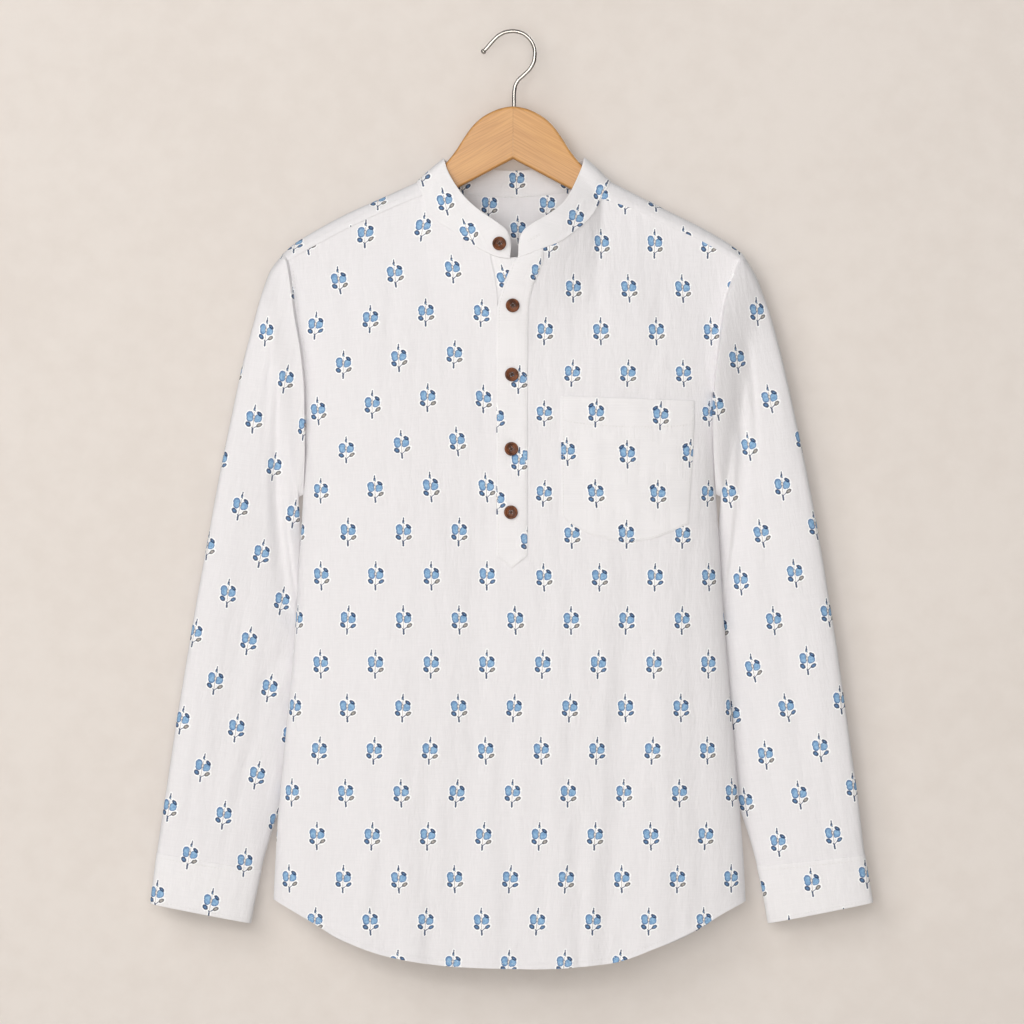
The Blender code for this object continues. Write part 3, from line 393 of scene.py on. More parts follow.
beech, shader, wire = new_material("varnished_beech", {"Coat Roughness": 0.2, "Specular IOR Level": 0.35})
place = wire.node("ShaderNodeTexCoord", out=3)
x, y, z = place.part(0), place.part(1), place.part(2)
out_x = x.math("ABSOLUTE", x)
side = x.math("SIGN", x)
along = out_x * cos(GRAIN_SLOPE) - z * sin(GRAIN_SLOPE)
across_grain = out_x * sin(GRAIN_SLOPE) + z * cos(GRAIN_SLOPE)
fibre_place = wire.node("ShaderNodeCombineXYZ", None,
                        {0: along * 14.0, 1: across_grain * 420.0, 2: y * 160.0 + side * 7.0})
fibres = wire.noise(fibre_place, 2.0, 5.0)
slow_place = wire.node("ShaderNodeCombineXYZ", None,
                       {0: along * 6.0, 1: across_grain * 30.0, 2: y * 12.0 + side * 3.0})
slow = wire.noise(slow_place, 1.3, 2.0)
swirl = across_grain * 2100.0 + slow * 30.0 + y * 220.0
rings = swirl.math("SINE", swirl)
colour = wire.blend(fibres.fade(0.38, 0.62), BEECH_LIGHT, BEECH_MIDDLE)
colour = wire.blend(rings.fade(-1.0, -0.35) * slow.fade(0.40, 0.62) * 0.30, colour, BEECH_DARK)
colour = wire.blend(slow.fade(0.36, 0.56) * 0.16, colour, BEECH_DARK)
# Painted shade: the hanger's narrow rounded edges, away from its broad faces, are darkened towards the dark
# beech colour
rim_painted_shade = (1.0 - y.math("ABSOLUTE", y).fade(0.0040, 0.0052)).fade(0.1, 0.9)
colour = wire.blend(rim_painted_shade * 0.30, colour, BEECH_DARK)
colour = wire.blend(out_x.fade(0.00020, 0.0006) * 0.12, colour, BEECH_DARK)
colour.into(shader, "Base Color")
(fibres * 0.16 + 0.34).into(shader, "Roughness")
shader.inputs["Coat Weight"].default_value = 0.25
wire.bump(fibres, 0.0002, 0.25).into(shader, "Normal")

for side, name in ((LEFT, "left"), (RIGHT, "right")):
    steps = np.linspace(0, len(DOME) - 1, (len(DOME) - 1) * DOME_STEPS + 1)
    outline = list(zip(along_rows(DOME, "x", steps), along_rows(DOME, "z", steps)))
    for arm_x in np.linspace(ARM_FROM_X, ARM_TIP_X, 14):
        outline.append((arm_x, look_up(RIDGE[side], "x", "z", arm_x) - ARM_SEAT))
    tip_x, tip_z = outline.pop()
    outline += [(tip_x - tip.inward, tip_z - tip.down) for tip in ARM_TIP]
    outline += [(NOTCH_END_X, NOTCH_Z - NOTCH_SLOPE * NOTCH_END_X), (0.0, NOTCH_Z)]
    outline += [(-ARM_PAST_JOINT, NOTCH_Z), (-ARM_PAST_JOINT, DOME[0].z)]
    shape = poly_line("arm_" + name, "2D", [(side * arm_x, arm_z, 0) for arm_x, arm_z in outline])
    shape.splines[0].use_cyclic_u = True
    shape.fill_mode = "BOTH"
    shape.extrude = (HANGER_THICKNESS / 2 - HANGER_ROUND) * MM
    shape.bevel_depth = HANGER_ROUND * MM
    shape.bevel_resolution = 5
    shape.offset = -HANGER_ROUND * MM
    add_object("arm_" + name, shape)
    bpy.ops.object.convert(target="MESH")
    arm = bpy.context.object
    arm.rotation_euler = (pi / 2, 0, 0)
    bpy.ops.object.transform_apply()
    bpy.ops.object.mode_set(mode="EDIT")
    bpy.ops.mesh.select_all(action="SELECT")
    bpy.ops.mesh.remove_doubles(threshold=MERGE_NEAR)
    bpy.ops.mesh.select_all(action="SELECT")
    bpy.ops.mesh.bisect(plane_co=(side * HANGER_JOINT * MM, 0, 0), plane_no=(-side, 0, 0),
                        use_fill=True, clear_outer=True)
    bpy.ops.mesh.select_all(action="SELECT")
    bpy.ops.mesh.normals_make_consistent(inside=False)
    bpy.ops.object.mode_set(mode="OBJECT")
    arm.data.materials.clear()
    arm.data.materials.append(beech)
    bpy.ops.object.shade_smooth_by_angle(angle=radians(35))
    settle_piece(arm, "hanger_wood", "hanger_arm_" + name)


# Printed cotton: a light plain weave, white, block printed all over with a small blue flower
# in half-drop rows. The print lies in the cloth's own flat millimetres, kept as its UV map.
COLUMN = 26.7
ROW = 83.5
FLOWER = (-1.0, -647.4)
COTTON = (0.835, 0.818, 0.834, 1)
COTTON_DOUBLE = (0.862, 0.846, 0.858, 1)
HALO = (0.98, 0.98, 0.985, 1)
STEM = (0.040, 0.068, 0.145, 1)
BROWN_STEM = (0.330, 0.265, 0.235, 1)
LEAF = (0.016, 0.045, 0.120, 1)
LEAF_VEIN = (0.085, 0.205, 0.400, 1)
GREY_LEAF = (0.085, 0.085, 0.095, 1)
GREY_LEAF_HEART = (0.380, 0.350, 0.315, 1)
PETAL = (0.140, 0.310, 0.565, 1)
PETAL_LIGHT = (0.285, 0.490, 0.705, 1)
PETAL_EDGE = (0.040, 0.125, 0.315, 1)
EYE = (0.86, 0.81, 0.73, 1)
EYE_RIM = (0.265, 0.190, 0.160, 1)
PRINT_WOBBLE = 0.5
WEAVE_HEIGHT = 0.00012
CRUMPLE_HEIGHT = 0.0016
PLAIN_U = 12.5
PLAIN_V = 19.0
Flower = namedtuple("Flower", "x z lean behind")
Oval = namedtuple("Oval", "x z half_x half_z turn")
BUD = Oval(0.0, 7.9, 1.0, 1.8, -8)
LEFT_PETALS = [Oval(-3.9, 1.9, 3.25, 3.6, 0), Oval(-3.6, -1.3, 3.1, 3.3, 0)]
RIGHT_PETALS = [Oval(4.05, -0.9, 3.45, 3.7, 0), Oval(2.5, -2.9, 1.9, 2.0, 0)]
PETAL_HEART = Oval(-2.9, 0.2, 3.1, 3.6, 0)
TOP_LEAF = Oval(5.0, 3.4, 2.9, 1.6, -38)
SECOND_LEAF = Oval(-5.2, 5.4, 2.9, 1.6, 38)
LOW_LEAF = Oval(-4.7, -7.0, 2.9, 2.1, -40)
GREY_LEAF_SPOT = Oval(5.6, -7.2, 2.8, 1.7, 32)
EYE_SPOT = Oval(0.0, 0.0, 0.75, 1.3, 0)
Stroke = namedtuple("Stroke", "from_x from_z to_x to_z half")
STROKES = [
    Stroke(0.3, 11.5, 0.2, 8.6, 0.52), Stroke(0.2, 7.4, 0.9, 5.9, 0.32),
    Stroke(0.2, -10.7, 3.6, -8.3, 0.30), Stroke(-0.2, -10.9, -0.1, -14.9, 0.80),
    Stroke(-0.2, -11.0, -1.1, -9.8, 0.36),
]
BROWN_STROKES = [Stroke(0.1, 4.8, 0.0, 1.6, 0.24), Stroke(-0.1, -1.4, -0.1, -9.6, 0.26)]


def oval(spot, shape):
    """Distance in mm outside an oval, about right near its edge."""
    values = {
        "Vector": spot,
        "Location": (shape.x, shape.z, 0),
        "Rotation": (0, 0, radians(shape.turn)),
        "Scale": (shape.half_x, shape.half_z, 1),
    }
    inside = spot.node("ShaderNodeMapping", {"vector_type": "TEXTURE"}, values)
    return (inside.vector("LENGTH", inside, out=1) - 1.0) * min(shape.half_x, shape.half_z)


def stroke(spot, shape):
    """Distance in mm outside a round-ended pen stroke."""
    run_x, run_z = shape.to_x - shape.from_x, shape.to_z - shape.from_z
    half_long = sqrt(run_x ** 2 + run_z ** 2) / 2
    values = {
        "Vector": spot,
        "Location": (shape.from_x + run_x / 2, shape.from_z + run_z / 2, 0),
        "Rotation": (0, 0, atan2(run_z, run_x)),
    }
    inside = spot.node("ShaderNodeMapping", {"vector_type": "TEXTURE"}, values)
    folded = inside.vector("ABSOLUTE", inside)
    past = folded.vector("SUBTRACT", folded, (half_long, 0, 0))
    past = past.vector("MAXIMUM", past, (0, 0, 0))
    return past.vector("LENGTH", past, out=1) - shape.half


def nearest(distances):
    least = distances[0]
    for distance in distances[1:]:
        least = least.math("MINIMUM", least, distance)
    return least


def printed_cotton(name, ground, paired=False):
    """The cloth's material on a ground colour. A paired print has a second leaf on top."""
    material, shader, wire = new_material(name, {"Specular IOR Level": 0.25, "Sheen Weight": 0.08})
    flat = wire.node("ShaderNodeUVMap", {"uv_map": "cloth"})
    flat_mm = flat.vector("MULTIPLY", flat, (1000, 1000, 0))

    def streaks(across, along, detail, **more):
        return wire.noise(flat_mm.vector("MULTIPLY", flat_mm, (across, along, 1)), 1.0, detail, **more)

    wobble = wire.noise(flat_mm, 0.9, 1.0, out=1)
    wobble = wobble.vector("MULTIPLY", wobble.vector("SUBTRACT", wobble, (0.5, 0.5, 0.5)),
                           (2 * PRINT_WOBBLE, 2 * PRINT_WOBBLE, 0))
    u = flat_mm.part(0) - FLOWER[0]
    v = flat_mm.part(1) - FLOWER[1]
    column = u.math("ROUND", u / COLUMN)
    drop = column.math("FLOORED_MODULO", column, 2.0) * (ROW / 2)
    row = v.math("ROUND", (v - drop) / ROW)
    own = wire.node("ShaderNodeCombineXYZ", None, {0: column, 1: row, 2: 0.5})
    chance = wire.node("ShaderNodeTexWhiteNoise", {"noise_dimensions": "3D"}, {"Vector": own}, 1)
    spot = wire.node("ShaderNodeCombineXYZ", None, {0: u - column * COLUMN, 1: v - drop - row * ROW})
    spot = spot.vector("ADD", spot, wobble)
    turn = wire.node("ShaderNodeVectorRotate", {"rotation_type": "Z_AXIS"},
                     {"Vector": spot, "Angle": (chance.part(0) - 0.5) * 0.14})

    bud = oval(turn, BUD)
    left = nearest([oval(turn, shape) for shape in LEFT_PETALS])
    right = nearest([oval(turn, shape) for shape in RIGHT_PETALS])
    top_leaf = oval(turn, TOP_LEAF)
    low_leaf = oval(turn, LOW_LEAF)
    grey_leaf = oval(turn, GREY_LEAF_SPOT)
    stems = nearest([stroke(turn, shape) for shape in STROKES])
    petals = left.math("MINIMUM", left, right)
    leaves = nearest([top_leaf, low_leaf] + ([oval(turn, SECOND_LEAF)] if paired else []))
    brown = nearest([stroke(turn, shape) for shape in BROWN_STROKES])
    whole = nearest([petals, leaves, grey_leaf, bud, stems, brown])
    eye = oval(turn, EYE_SPOT)

    slub = streaks(0.9, 0.06, 3.0)
    weft = streaks(0.05, 1.1, 3.0)
    shade = (slub + weft).fade(0.72, 1.28) * 0.75
    colour = wire.blend(shade, tuple(value * 0.955 for value in ground[:3]) + (1,), ground)
    colour = wire.blend(whole.fade(0.75, 1.35), colour, HALO)

    colour = wire.blend(brown.fade(-0.12, 0.25) * 0.7, colour, BROWN_STEM)
    colour = wire.blend(stems.fade(-0.12, 0.25) * 0.95, colour, STEM)
    colour = wire.blend(bud.fade(-0.1, 0.22) * 0.92, colour, STEM)
    bud_light = oval(turn, Oval(0.0, 7.1, 0.35, 0.7, 0)).fade(-0.1, 0.25)
    colour = wire.blend(bud_light * 0.55, colour, PETAL_LIGHT)
    blot = wire.noise(flat_mm, 0.42, 2.0)
    petal_tone = wire.blend(blot.fade(0.40, 0.60) * 0.8, PETAL_LIGHT, PETAL)
    crescent = (1.0 - oval(turn, PETAL_HEART).fade(-0.3, 0.3)) * left.fade(-0.2, 0.0)
    petal_tone = wire.blend(crescent * 0.55, petal_tone, PETAL_EDGE)
    petal_tone = wire.blend((1.0 - petals.fade(-1.0, -0.25)) * 0.8, petal_tone, PETAL_EDGE)
    colour = wire.blend(petals.fade(-0.1, 0.25) * 0.96, colour, petal_tone)
    leaf_tone = wire.blend(leaves.fade(-1.25, -0.75), LEAF, LEAF_VEIN)
    colour = wire.blend(leaves.fade(-0.1, 0.25) * 0.96, colour, leaf_tone)
    navy = chance.part(1).math("GREATER_THAN", chance.part(1), 0.72)
    pale_rim = wire.blend(navy, GREY_LEAF, LEAF)
    pale_heart = wire.blend(navy, GREY_LEAF_HEART, LEAF_VEIN)
    pale_tone = wire.blend(grey_leaf.fade(-0.95, -0.5), pale_rim, pale_heart)
    colour = wire.blend(grey_leaf.fade(-0.1, 0.25) * 0.94, colour, pale_tone)
    colour = wire.blend(eye.fade(0.25, 0.6) * 0.75, colour, EYE_RIM)
    colour = wire.blend(eye.fade(-0.2, 0.1), colour, EYE)
    colour.into(shader, "Base Color")

    threads = streaks(3.4, 1.1, 2.0)
    picks = streaks(1.1, 3.4, 2.0)
    (threads * 0.12 + 0.82).into(shader, "Roughness")
    weave = wire.bump(threads + picks, WEAVE_HEIGHT)
    crumple = streaks(0.085, 0.022, 4.0, Roughness=0.55)
    wire.bump(crumple, CRUMPLE_HEIGHT, Normal=weave).into(shader, "Normal")
    return material


cotton = printed_cotton("printed_cotton", COTTON)
double_cotton = printed_cotton("interlined_cotton", COTTON_DOUBLE)
pocket_cotton = printed_cotton("pocket_cotton", COTTON_DOUBLE, paired=True)


def corners_of(grid):
    """The four corners of each cell of a grid."""
    return np.stack([grid[:-1, :-1], grid[:-1, 1:], grid[1:, 1:], grid[1:, :-1]], axis=2)


def corners_by_flowers(points, flowers):
    """Flat corners for a piece with few flowers: each stands where the front view shows it,
    leans its own way, and gives its surroundings their place in the print."""
    cells = corners_of(points)
    middle = cells.mean(axis=2)
    flat = np.zeros(cells.shape[:3] + (2,))
    best = np.full(middle.shape[:2], np.inf)
    for k, flower in enumerate(flowers):
        away = np.hypot(middle[..., 0] - flower.x, middle[..., 2] - flower.z)
        away += np.where((middle[..., 1] > 0) == flower.behind, 0, 1000)
        lean = radians(flower.lean)
        right, up = cells[..., 0] - flower.x, cells[..., 2] - flower.z
        u = np.clip(right * cos(lean) - up * sin(lean), -PLAIN_U, PLAIN_U)
        v = np.clip(right * sin(lean) + up * cos(lean), -PLAIN_V, PLAIN_V)
        place = np.stack([u + FLOWER[0] + 2 * k * COLUMN, v + FLOWER[1]], axis=-1)
        nearer = away < best
        flat = np.where(nearer[..., None, None], place, flat)
        best = np.minimum(best, away)
    return flat


def cloth(name, points, corners, wall, material, keep=None, closed=False, outward=(0, -1, 0), soft=0):
    """A thin shell through a grid of points in mm. corners are the flat places of each cell in
    the print, keep refuses the cells that are cut away, and soft rounds the shell's edges."""
    rows, count = points.shape[:2]
    cells = count if closed else count - 1
    faces = []
    places = []
    for j in range(rows - 1):
        for i in range(cells):
            if keep and not keep(i, j):
                continue
            after = (i + 1) % count
            faces.append((j * count + i, j * count + after, (j + 1) * count + after, (j + 1) * count + i))
            places.append(corners[j, i])
    mesh = bpy.data.meshes.new(name)
    mesh.from_pydata((points.reshape(-1, 3) * MM).tolist(), [], faces)
    layer = mesh.uv_layers.new(name="cloth")
    layer.data.foreach_set("uv", (np.concatenate(places) * MM).ravel())
    bm = bmesh.new()
    bm.from_mesh(mesh)
    loose = [vert for vert in bm.verts if not vert.link_faces]
    bmesh.ops.delete(bm, geom=loose, context="VERTS")
    bmesh.ops.recalc_face_normals(bm, faces=bm.faces)
    out = Vector(outward)
    probe = max(bm.faces, key=lambda face: face.calc_center_median().dot(out))
    if probe.normal.dot(out) < 0:
        bmesh.ops.reverse_faces(bm, faces=bm.faces)
    bm.to_mesh(mesh)
    bm.free()
    mesh.materials.append(material)
    mesh.shade_smooth()
    item = add_object(name, mesh)
    thick = item.modifiers.new("wall", "SOLIDIFY")
    thick.thickness = wall * MM
    thick.offset = 0.0
    bpy.ops.object.modifier_apply(modifier="wall")
    if soft:
        round_edge = item.modifiers.new("edge", "BEVEL")
        round_edge.width = soft * MM
        round_edge.segments = 2
        round_edge.limit_method = "ANGLE"
        round_edge.angle_limit = radians(60)
        bpy.ops.object.modifier_apply(modifier="edge")
    bpy.ops.object.shade_smooth_by_angle(angle=radians(55))
    return item


def crinkle(across, along, seed, height):
    """Fine uneven streaks that run down hanging cotton, in mm."""
    draw = np.random.default_rng(seed)
    waves = 14
    total = 0.0
    for _ in range(waves):
        width = draw.uniform(11, 40)
        drift = draw.uniform(90, 260)
        first, second = draw.uniform(0, 2 * pi, 2)
        lean = draw.uniform(-0.18, 0.18)
        bend = 1.5 * np.sin(2 * pi * along / drift + second)
        streak = np.sin(2 * pi * (across + lean * along) / width + first + bend)
        total = total + streak * np.sin(2 * pi * along / (1.7 * drift) + second)
    return height * total / sqrt(waves)


# Front: one panel from the shoulder seams to a curved shirt-tail hem, slit at the middle for
# the placket. It hangs from the hanger in soft upright folds.
SHOWN_WALL = 0.8
SEAM = 0.05
ARCH_DEPTH = 10.0
DRAPE = 120.0
ARMPIT_Z = -440.0
YOKE_SEAM_Z = -235.0
SLOT_BOTTOM_Z = -500.0
SIDE_SEAM = 0.85
SETTLE_STEPS = 14
FRONT_POWER = 4
BACK_LIP_POWER = 8
PANEL_LONG = 670.0
HEM_ROWS = [0.0, 1.6, 3.4, 4.8, 5.6, 6.4, 7.6]
HEM_LIFT = 0.42
HEM_TURNED = 5.2
HEM_GROOVE = 0.3
HEM_GROOVE_AT = 4.9
CRINKLE = 0.34
ABOVE_PIT = 5
FOLD_FADE = 0.333
Shoulder = namedtuple("Shoulder", "ridge_x ridge_z front_x front_z back_x back_z")
SHOULDER = {
    LEFT: [
        Shoulder(91.2, -143.4, 86.4, -154.9, 88.0, -151.5),
        Shoulder(123.8, -158.2, 118.0, -168.0, 121.0, -168.5),
        Shoulder(158.4, -173.7, 153.0, -184.0, 156.0, -184.5),
        Shoulder(184.3, -187.4, 180.0, -197.8, 182.0, -198.5),
        Shoulder(209.7, -202.8, 204.0, -211.0, 206.0, -213.5),
        Shoulder(221.0, -212.5, 216.5, -218.3, 216.5, -223.0),
    ],
    RIGHT: [
        Shoulder(92.6, -143.0, 84.5, -158.3, 88.0, -151.5),
        Shoulder(119.0, -156.3, 113.0, -167.5, 116.5, -166.5),
        Shoulder(146.9, -170.5, 142.0, -181.8, 144.5, -181.0),
        Shoulder(182.4, -188.3, 178.0, -197.4, 180.0, -199.0),
        Shoulder(209.3, -204.2, 204.0, -212.2, 206.0, -215.0),
        Shoulder(221.5, -213.5, 217.3, -218.8, 217.0, -224.0),
    ],
}
Edge = namedtuple("Edge", "z x")
BODY_EDGE = {
    LEFT: [
        Edge(-834, 230.4), Edge(-759, 226.2), Edge(-676, 218.5), Edge(-584, 210.0),
        Edge(-511, 205.9), Edge(-440, 201.5), Edge(-396, 199.7), Edge(-350, 199.7),
        Edge(-310, 202.5), Edge(-271, 208.8), Edge(-239, 213.0), Edge(-218.3, 216.5),
        Edge(-212, 221.0),
    ],
    RIGHT: [
        Edge(-836, 223.7), Edge(-786, 221.0), Edge(-740, 217.2), Edge(-639, 208.9),
        Edge(-563, 202.8), Edge(-496, 198.7), Edge(-440, 194.9), Edge(-371, 191.8),
        Edge(-341, 193.2), Edge(-298, 197.8), Edge(-261, 203.0), Edge(-236, 211.0),
        Edge(-218.8, 217.3), Edge(-213, 221.5),
    ],
}
Hem = namedtuple("Hem", "x z")
FRONT_HEM = [
    Hem(-230.4, -833.7), Hem(-195, -853.8), Hem(-165, -871.5), Hem(-115, -888.7),
    Hem(-52, -897.5), Hem(22, -899.5), Hem(90, -894.7), Hem(142, -877.5),
    Hem(176, -862.1), Hem(202, -846.7), Hem(223.7, -835.6),
]
Section = namedtuple(
    "Section", "z seam_y front_open front_mid front_round back_open back_mid back_lip"
)
SECTIONS = [
    Section(-900, 0.0, 0.0, -30.0, 0.45, 0.0, 21.0, 0.30),
    Section(-700, 0.0, 0.0, -29.0, 0.45, 0.0, 21.0, 0.30),
    Section(-560, 1.0, 0.0, -28.0, 0.45, 0.0, 21.0, 0.30),
    Section(-440, 3.0, 0.0, -28.0, 0.45, 0.0, 21.0, 0.30),
    Section(-400, 3.0, 7.0, -28.0, 0.50, 4.0, 21.0, 0.20),
    Section(-350, 2.0, 13.0, -28.0, 0.65, 8.0, 21.0, 0.10),
    Section(-310, 1.0, 15.0, -27.0, 0.80, 11.0, 20.0, 0.0),
    Section(-260, 0.0, 13.0, -26.0, 0.90, 12.0, 19.0, 0.0),
    Section(-215, 0.0, 10.0, -25.0, 1.00, 10.0, 18.0, 0.0),
]
Collar = namedtuple("Collar", "base_x base_y base_z top_x top_y top_z")
COLLAR = [
    Collar(-2.9, -39.0, -218.3, -2.2, -34.5, -203.0),
    Collar(-11.5, -39.2, -217.0, -5.8, -35.8, -192.0),
    Collar(-21.6, -38.4, -213.6, -12.0, -36.0, -186.2),
    Collar(-33.0, -36.2, -207.7, -19.5, -34.6, -180.6),
    Collar(-47.0, -32.0, -199.1, -30.0, -31.4, -173.4),
    Collar(-58.6, -27.0, -190.5, -41.0, -27.0, -164.2),
    Collar(-71.0, -20.5, -181.8, -50.5, -21.8, -153.4),
    Collar(-81.0, -14.5, -170.3, -58.6, -16.0, -141.2),
    Collar(-86.4, -10.0, -154.9, -63.9, -9.8, -130.0),
    Collar(-88.8, -8.7, -149.2, -65.2, -8.4, -125.2),
    Collar(-90.6, -5.0, -144.9, -66.2, -4.8, -122.0),
    Collar(-91.2, 0.0, -143.4, -66.4, 0.0, -121.2),
    Collar(-90.8, 5.0, -144.5, -66.2, 4.8, -121.4),
    Collar(-89.6, 8.7, -147.5, -65.6, 8.4, -121.8),
    Collar(-88.0, 10.0, -151.5, -64.5, 10.0, -122.4),
    Collar(-72.0, 16.0, -153.6, -54.0, 14.4, -125.0),
    Collar(-47.0, 20.6, -154.9, -36.0, 18.2, -128.4),
    Collar(0.0, 24.0, -157.8, 0.0, 20.8, -131.3),
    Collar(50.0, 20.6, -153.6, 38.0, 18.2, -128.0),
    Collar(73.0, 16.0, -152.6, 56.0, 14.4, -124.6),
    Collar(88.0, 10.0, -151.5, 66.0, 10.0, -121.8),
    Collar(90.3, 8.7, -147.3, 67.4, 8.4, -121.2),
    Collar(92.0, 5.0, -144.1, 68.2, 4.8, -120.6),
    Collar(92.6, 0.0, -143.0, 68.4, 0.0, -120.4),
    Collar(91.5, -5.0, -145.1, 67.9, -4.8, -122.4),
    Collar(88.6, -8.7, -150.7, 66.4, -8.6, -128.4),
    Collar(84.5, -10.0, -158.3, 63.4, -10.0, -136.0),
    Collar(79.5, -15.0, -169.0, 57.0, -16.5, -150.0),
    Collar(72.7, -20.0, -178.9, 49.8, -22.2, -162.0),
    Collar(59.2, -27.2, -190.9, 40.0, -28.2, -171.2),
    Collar(44.2, -33.2, -201.7, 28.6, -32.6, -178.8),
    Collar(29.6, -37.2, -207.6, 18.6, -35.4, -184.8),
    Collar(18.0, -38.8, -212.4, 11.2, -36.0, -190.2),
    Collar(10.6, -39.0, -215.2, 8.4, -36.0, -194.4),
    Collar(4.8, -38.8, -217.9, 6.7, -35.0, -200.6),
]
LEFT_FRONT_ROWS = slice(0, 9)
BACK_ROWS = slice(14, 21)
RIGHT_FRONT_ROWS = slice(26, 35)
NECK_CENTRE_Z = -218.3
Strip = namedtuple("Strip", "z left right")
SLOT = [
    Strip(-900, -14.4, 13.4), Strip(-300, -14.4, 13.4), Strip(-258, -15.0, 14.4),
    Strip(-236, -17.4, 21.4), Strip(-214, -21.6, 28.8), Strip(-140, -21.6, 28.8),
]
# A crease runs through three points and sinks by depth, or stands up where that is negative.
# left and right are its reach to each side, tail the share over which it dies away below.
Crease = namedtuple("Crease", "top_x top_z mid_x mid_z low_x low_z left right depth tail")
FRONT_CREASES = [
    Crease(-158, -400, -166, -600, -186, -905, 30, 36, 3.2, 0.0),
    Crease(-46, -370, -32, -590, -62, -905, 34, 26, 2.5, 0.0),
    Crease(112, -450, 104, -640, 88, -905, 18, 36, 3.2, 0.0),
    Crease(0, -560, -8, -740, 4, -905, 20, 18, 1.9, 0.0),
    Crease(172, -500, 180, -700, 190, -905, 20, 22, 2.4, 0.0),
    Crease(-106, -520, -110, -700, -96, -905, 22, 18, -1.4, 0.0),
    Crease(140, -560, 146, -720, 140, -905, 16, 16, -1.3, 0.0),
    Crease(44, -520, 40, -700, 46, -905, 14, 18, -1.2, 0.0),
    Crease(-197, -236, -198, -310, -190, -420, 9, 13, -1.8, 0.5),
    Crease(-168, -206, -160, -262, -150, -350, 11, 12, 1.9, 0.6),
    Crease(-122, -196, -118, -260, -126, -380, 12, 14, 1.2, 0.6),
    Crease(76, -186, 80, -240, 84, -330, 9, 15, 1.9, 0.6),
    Crease(150, -196, 142, -262, 132, -350, 12, 12, 1.7, 0.6),
    Crease(186, -216, 184, -290, 178, -372, 10, 10, 1.5, 0.5),
    Crease(27, -226, 24, -262, 19, -330, 7, 6, 1.3, 0.7),
    Crease(38, -218, 33, -250, 26, -300, 6, 6, 0.9, 0.7),
    Crease(-30, -222, -27, -290, -30, -400, 8, 9, 1.0, 0.6),
    Crease(-182, -452, -178, -520, -168, -600, 12, 10, 1.6, 0.6),
    Crease(178, -446, 172, -516, 160, -590, 11, 12, 1.5, 0.6),
    Crease(-78, -640, -82, -760, -78, -905, 12, 12, 1.4, 0.0),
    Crease(66, -700, 62, -790, 64, -905, 12, 11, 1.5, 0.0),
    Crease(-136, -760, -142, -830, -146, -905, 11, 11, -1.3, 0.0),
]


# How far the print lies off its even rows, right and up, on the two halves of the front
Drift = namedtuple("Drift", "z left_u right_u left_v right_v")
PRINT_DRIFT = [
    Drift(-905, -3.6, -3.6, 6.0, 6.0), Drift(-811, -1.8, -1.6, 2.9, 2.9),
    Drift(-729, 0.4, 0.4, 1.9, 1.9), Drift(-647, 2.0, 1.9, 0.0, 0.0),
    Drift(-562, 2.7, 3.2, 1.0, 0.6), Drift(-478, 2.6, 4.0, 2.0, -1.0),
    Drift(-392, 0.6, 4.0, 2.2, -7.0), Drift(-326, -1.6, 4.4, 2.0, -13.2),
    Drift(-240, -3.4, 6.0, 0.0, -15.0), Drift(-196, -8.5, 10.0, 0.0, -13.0),
    Drift(-140, -8.5, 10.0, 0.0, -13.0),
]


# On the left chest the print's rows also sink towards the armhole, and near the shoulder its
# columns fan out
FAN_SHARE = 0.065
FAN_FROM_X = 60.0
FAN_FROM_Z = -275.0
FAN_RISE = 50.0
TILT_SHARE = 0.12
TILT_FROM_X = 80.0
TILT_LIFT = 3.5
TILT_FROM_Z = -470.0
TILT_RISE = 90.0


def body_edge(side, z):
    return side * look_up(BODY_EDGE[side], "z", "x", z)


def slot_edge(side, z):
    return look_up(SLOT, "z", "left" if side == LEFT else "right", z)


def front_top(x):
    """Height and depth of the front's upper edge: shoulder seams and neck seam."""
    z = np.full(np.shape(x), NECK_CENTRE_Z)
    y = np.full(np.shape(x), COLLAR[0].base_y)
    for side, rows in ((LEFT, COLLAR[LEFT_FRONT_ROWS]), (RIGHT, COLLAR[RIGHT_FRONT_ROWS])):
        on_neck = side * x >= side * rows[0 if side == LEFT else -1].base_x
        z = np.where(on_neck, look_up(rows, "base_x", "base_z", x), z)
        y = np.where(on_neck, look_up(rows, "base_x", "base_y", x), y)
        on_shoulder = side * x >= SHOULDER[side][0].front_x
        z = np.where(on_shoulder, look_up(SHOULDER[side], "front_x", "front_z", side * x), z)
        y = np.where(on_shoulder, -ARCH_DEPTH, y)
    return z, y


def creases(table, x, z):
    total = np.zeros(np.broadcast(x, z).shape)
    for crease in table:
        down = (crease.top_z - z) / (crease.top_z - crease.low_z)
        heights = [crease.low_z, crease.mid_z, crease.top_z]
        centre = smooth(heights, [crease.low_x, crease.mid_x, crease.top_x], z)
        off = x - centre
        away = np.clip(np.abs(off) / np.where(off < 0, crease.left, crease.right), 0, 1)
        start = ease(down / 0.35)
        end = ease((1 - down) / crease.tail) if crease.tail else 1.0
        total = total + crease.depth * start * end * (1 + np.cos(pi * away)) / 2
    return total


def across(x, z):
    """Share of the way from the body's middle to its edge."""
    left = body_edge(LEFT, z)
    right = body_edge(RIGHT, z)
    return np.clip(np.abs(x - (left + right) / 2) * 2 / (right - left), 0, 1)


def front_y(x, z, creased=1.0):
    q = across(x, z)
    edge = look_up(SECTIONS, "z", "seam_y", z) - look_up(SECTIONS, "z", "front_open", z)
    mid = look_up(SECTIONS, "z", "front_mid", z)
    level = (1 - q ** FRONT_POWER) ** look_up(SECTIONS, "z", "front_round", z)
    fold = creased * (creases(FRONT_CREASES, x, z) + crinkle(x, z, 5, CRINKLE))
    hang = edge + (mid - edge) * level + fold * np.clip((1 - q) / FOLD_FADE, 0, 1)
    top_z, top_y = front_top(x)
    return lerp(top_y, hang, ease((top_z - z) / DRAPE))


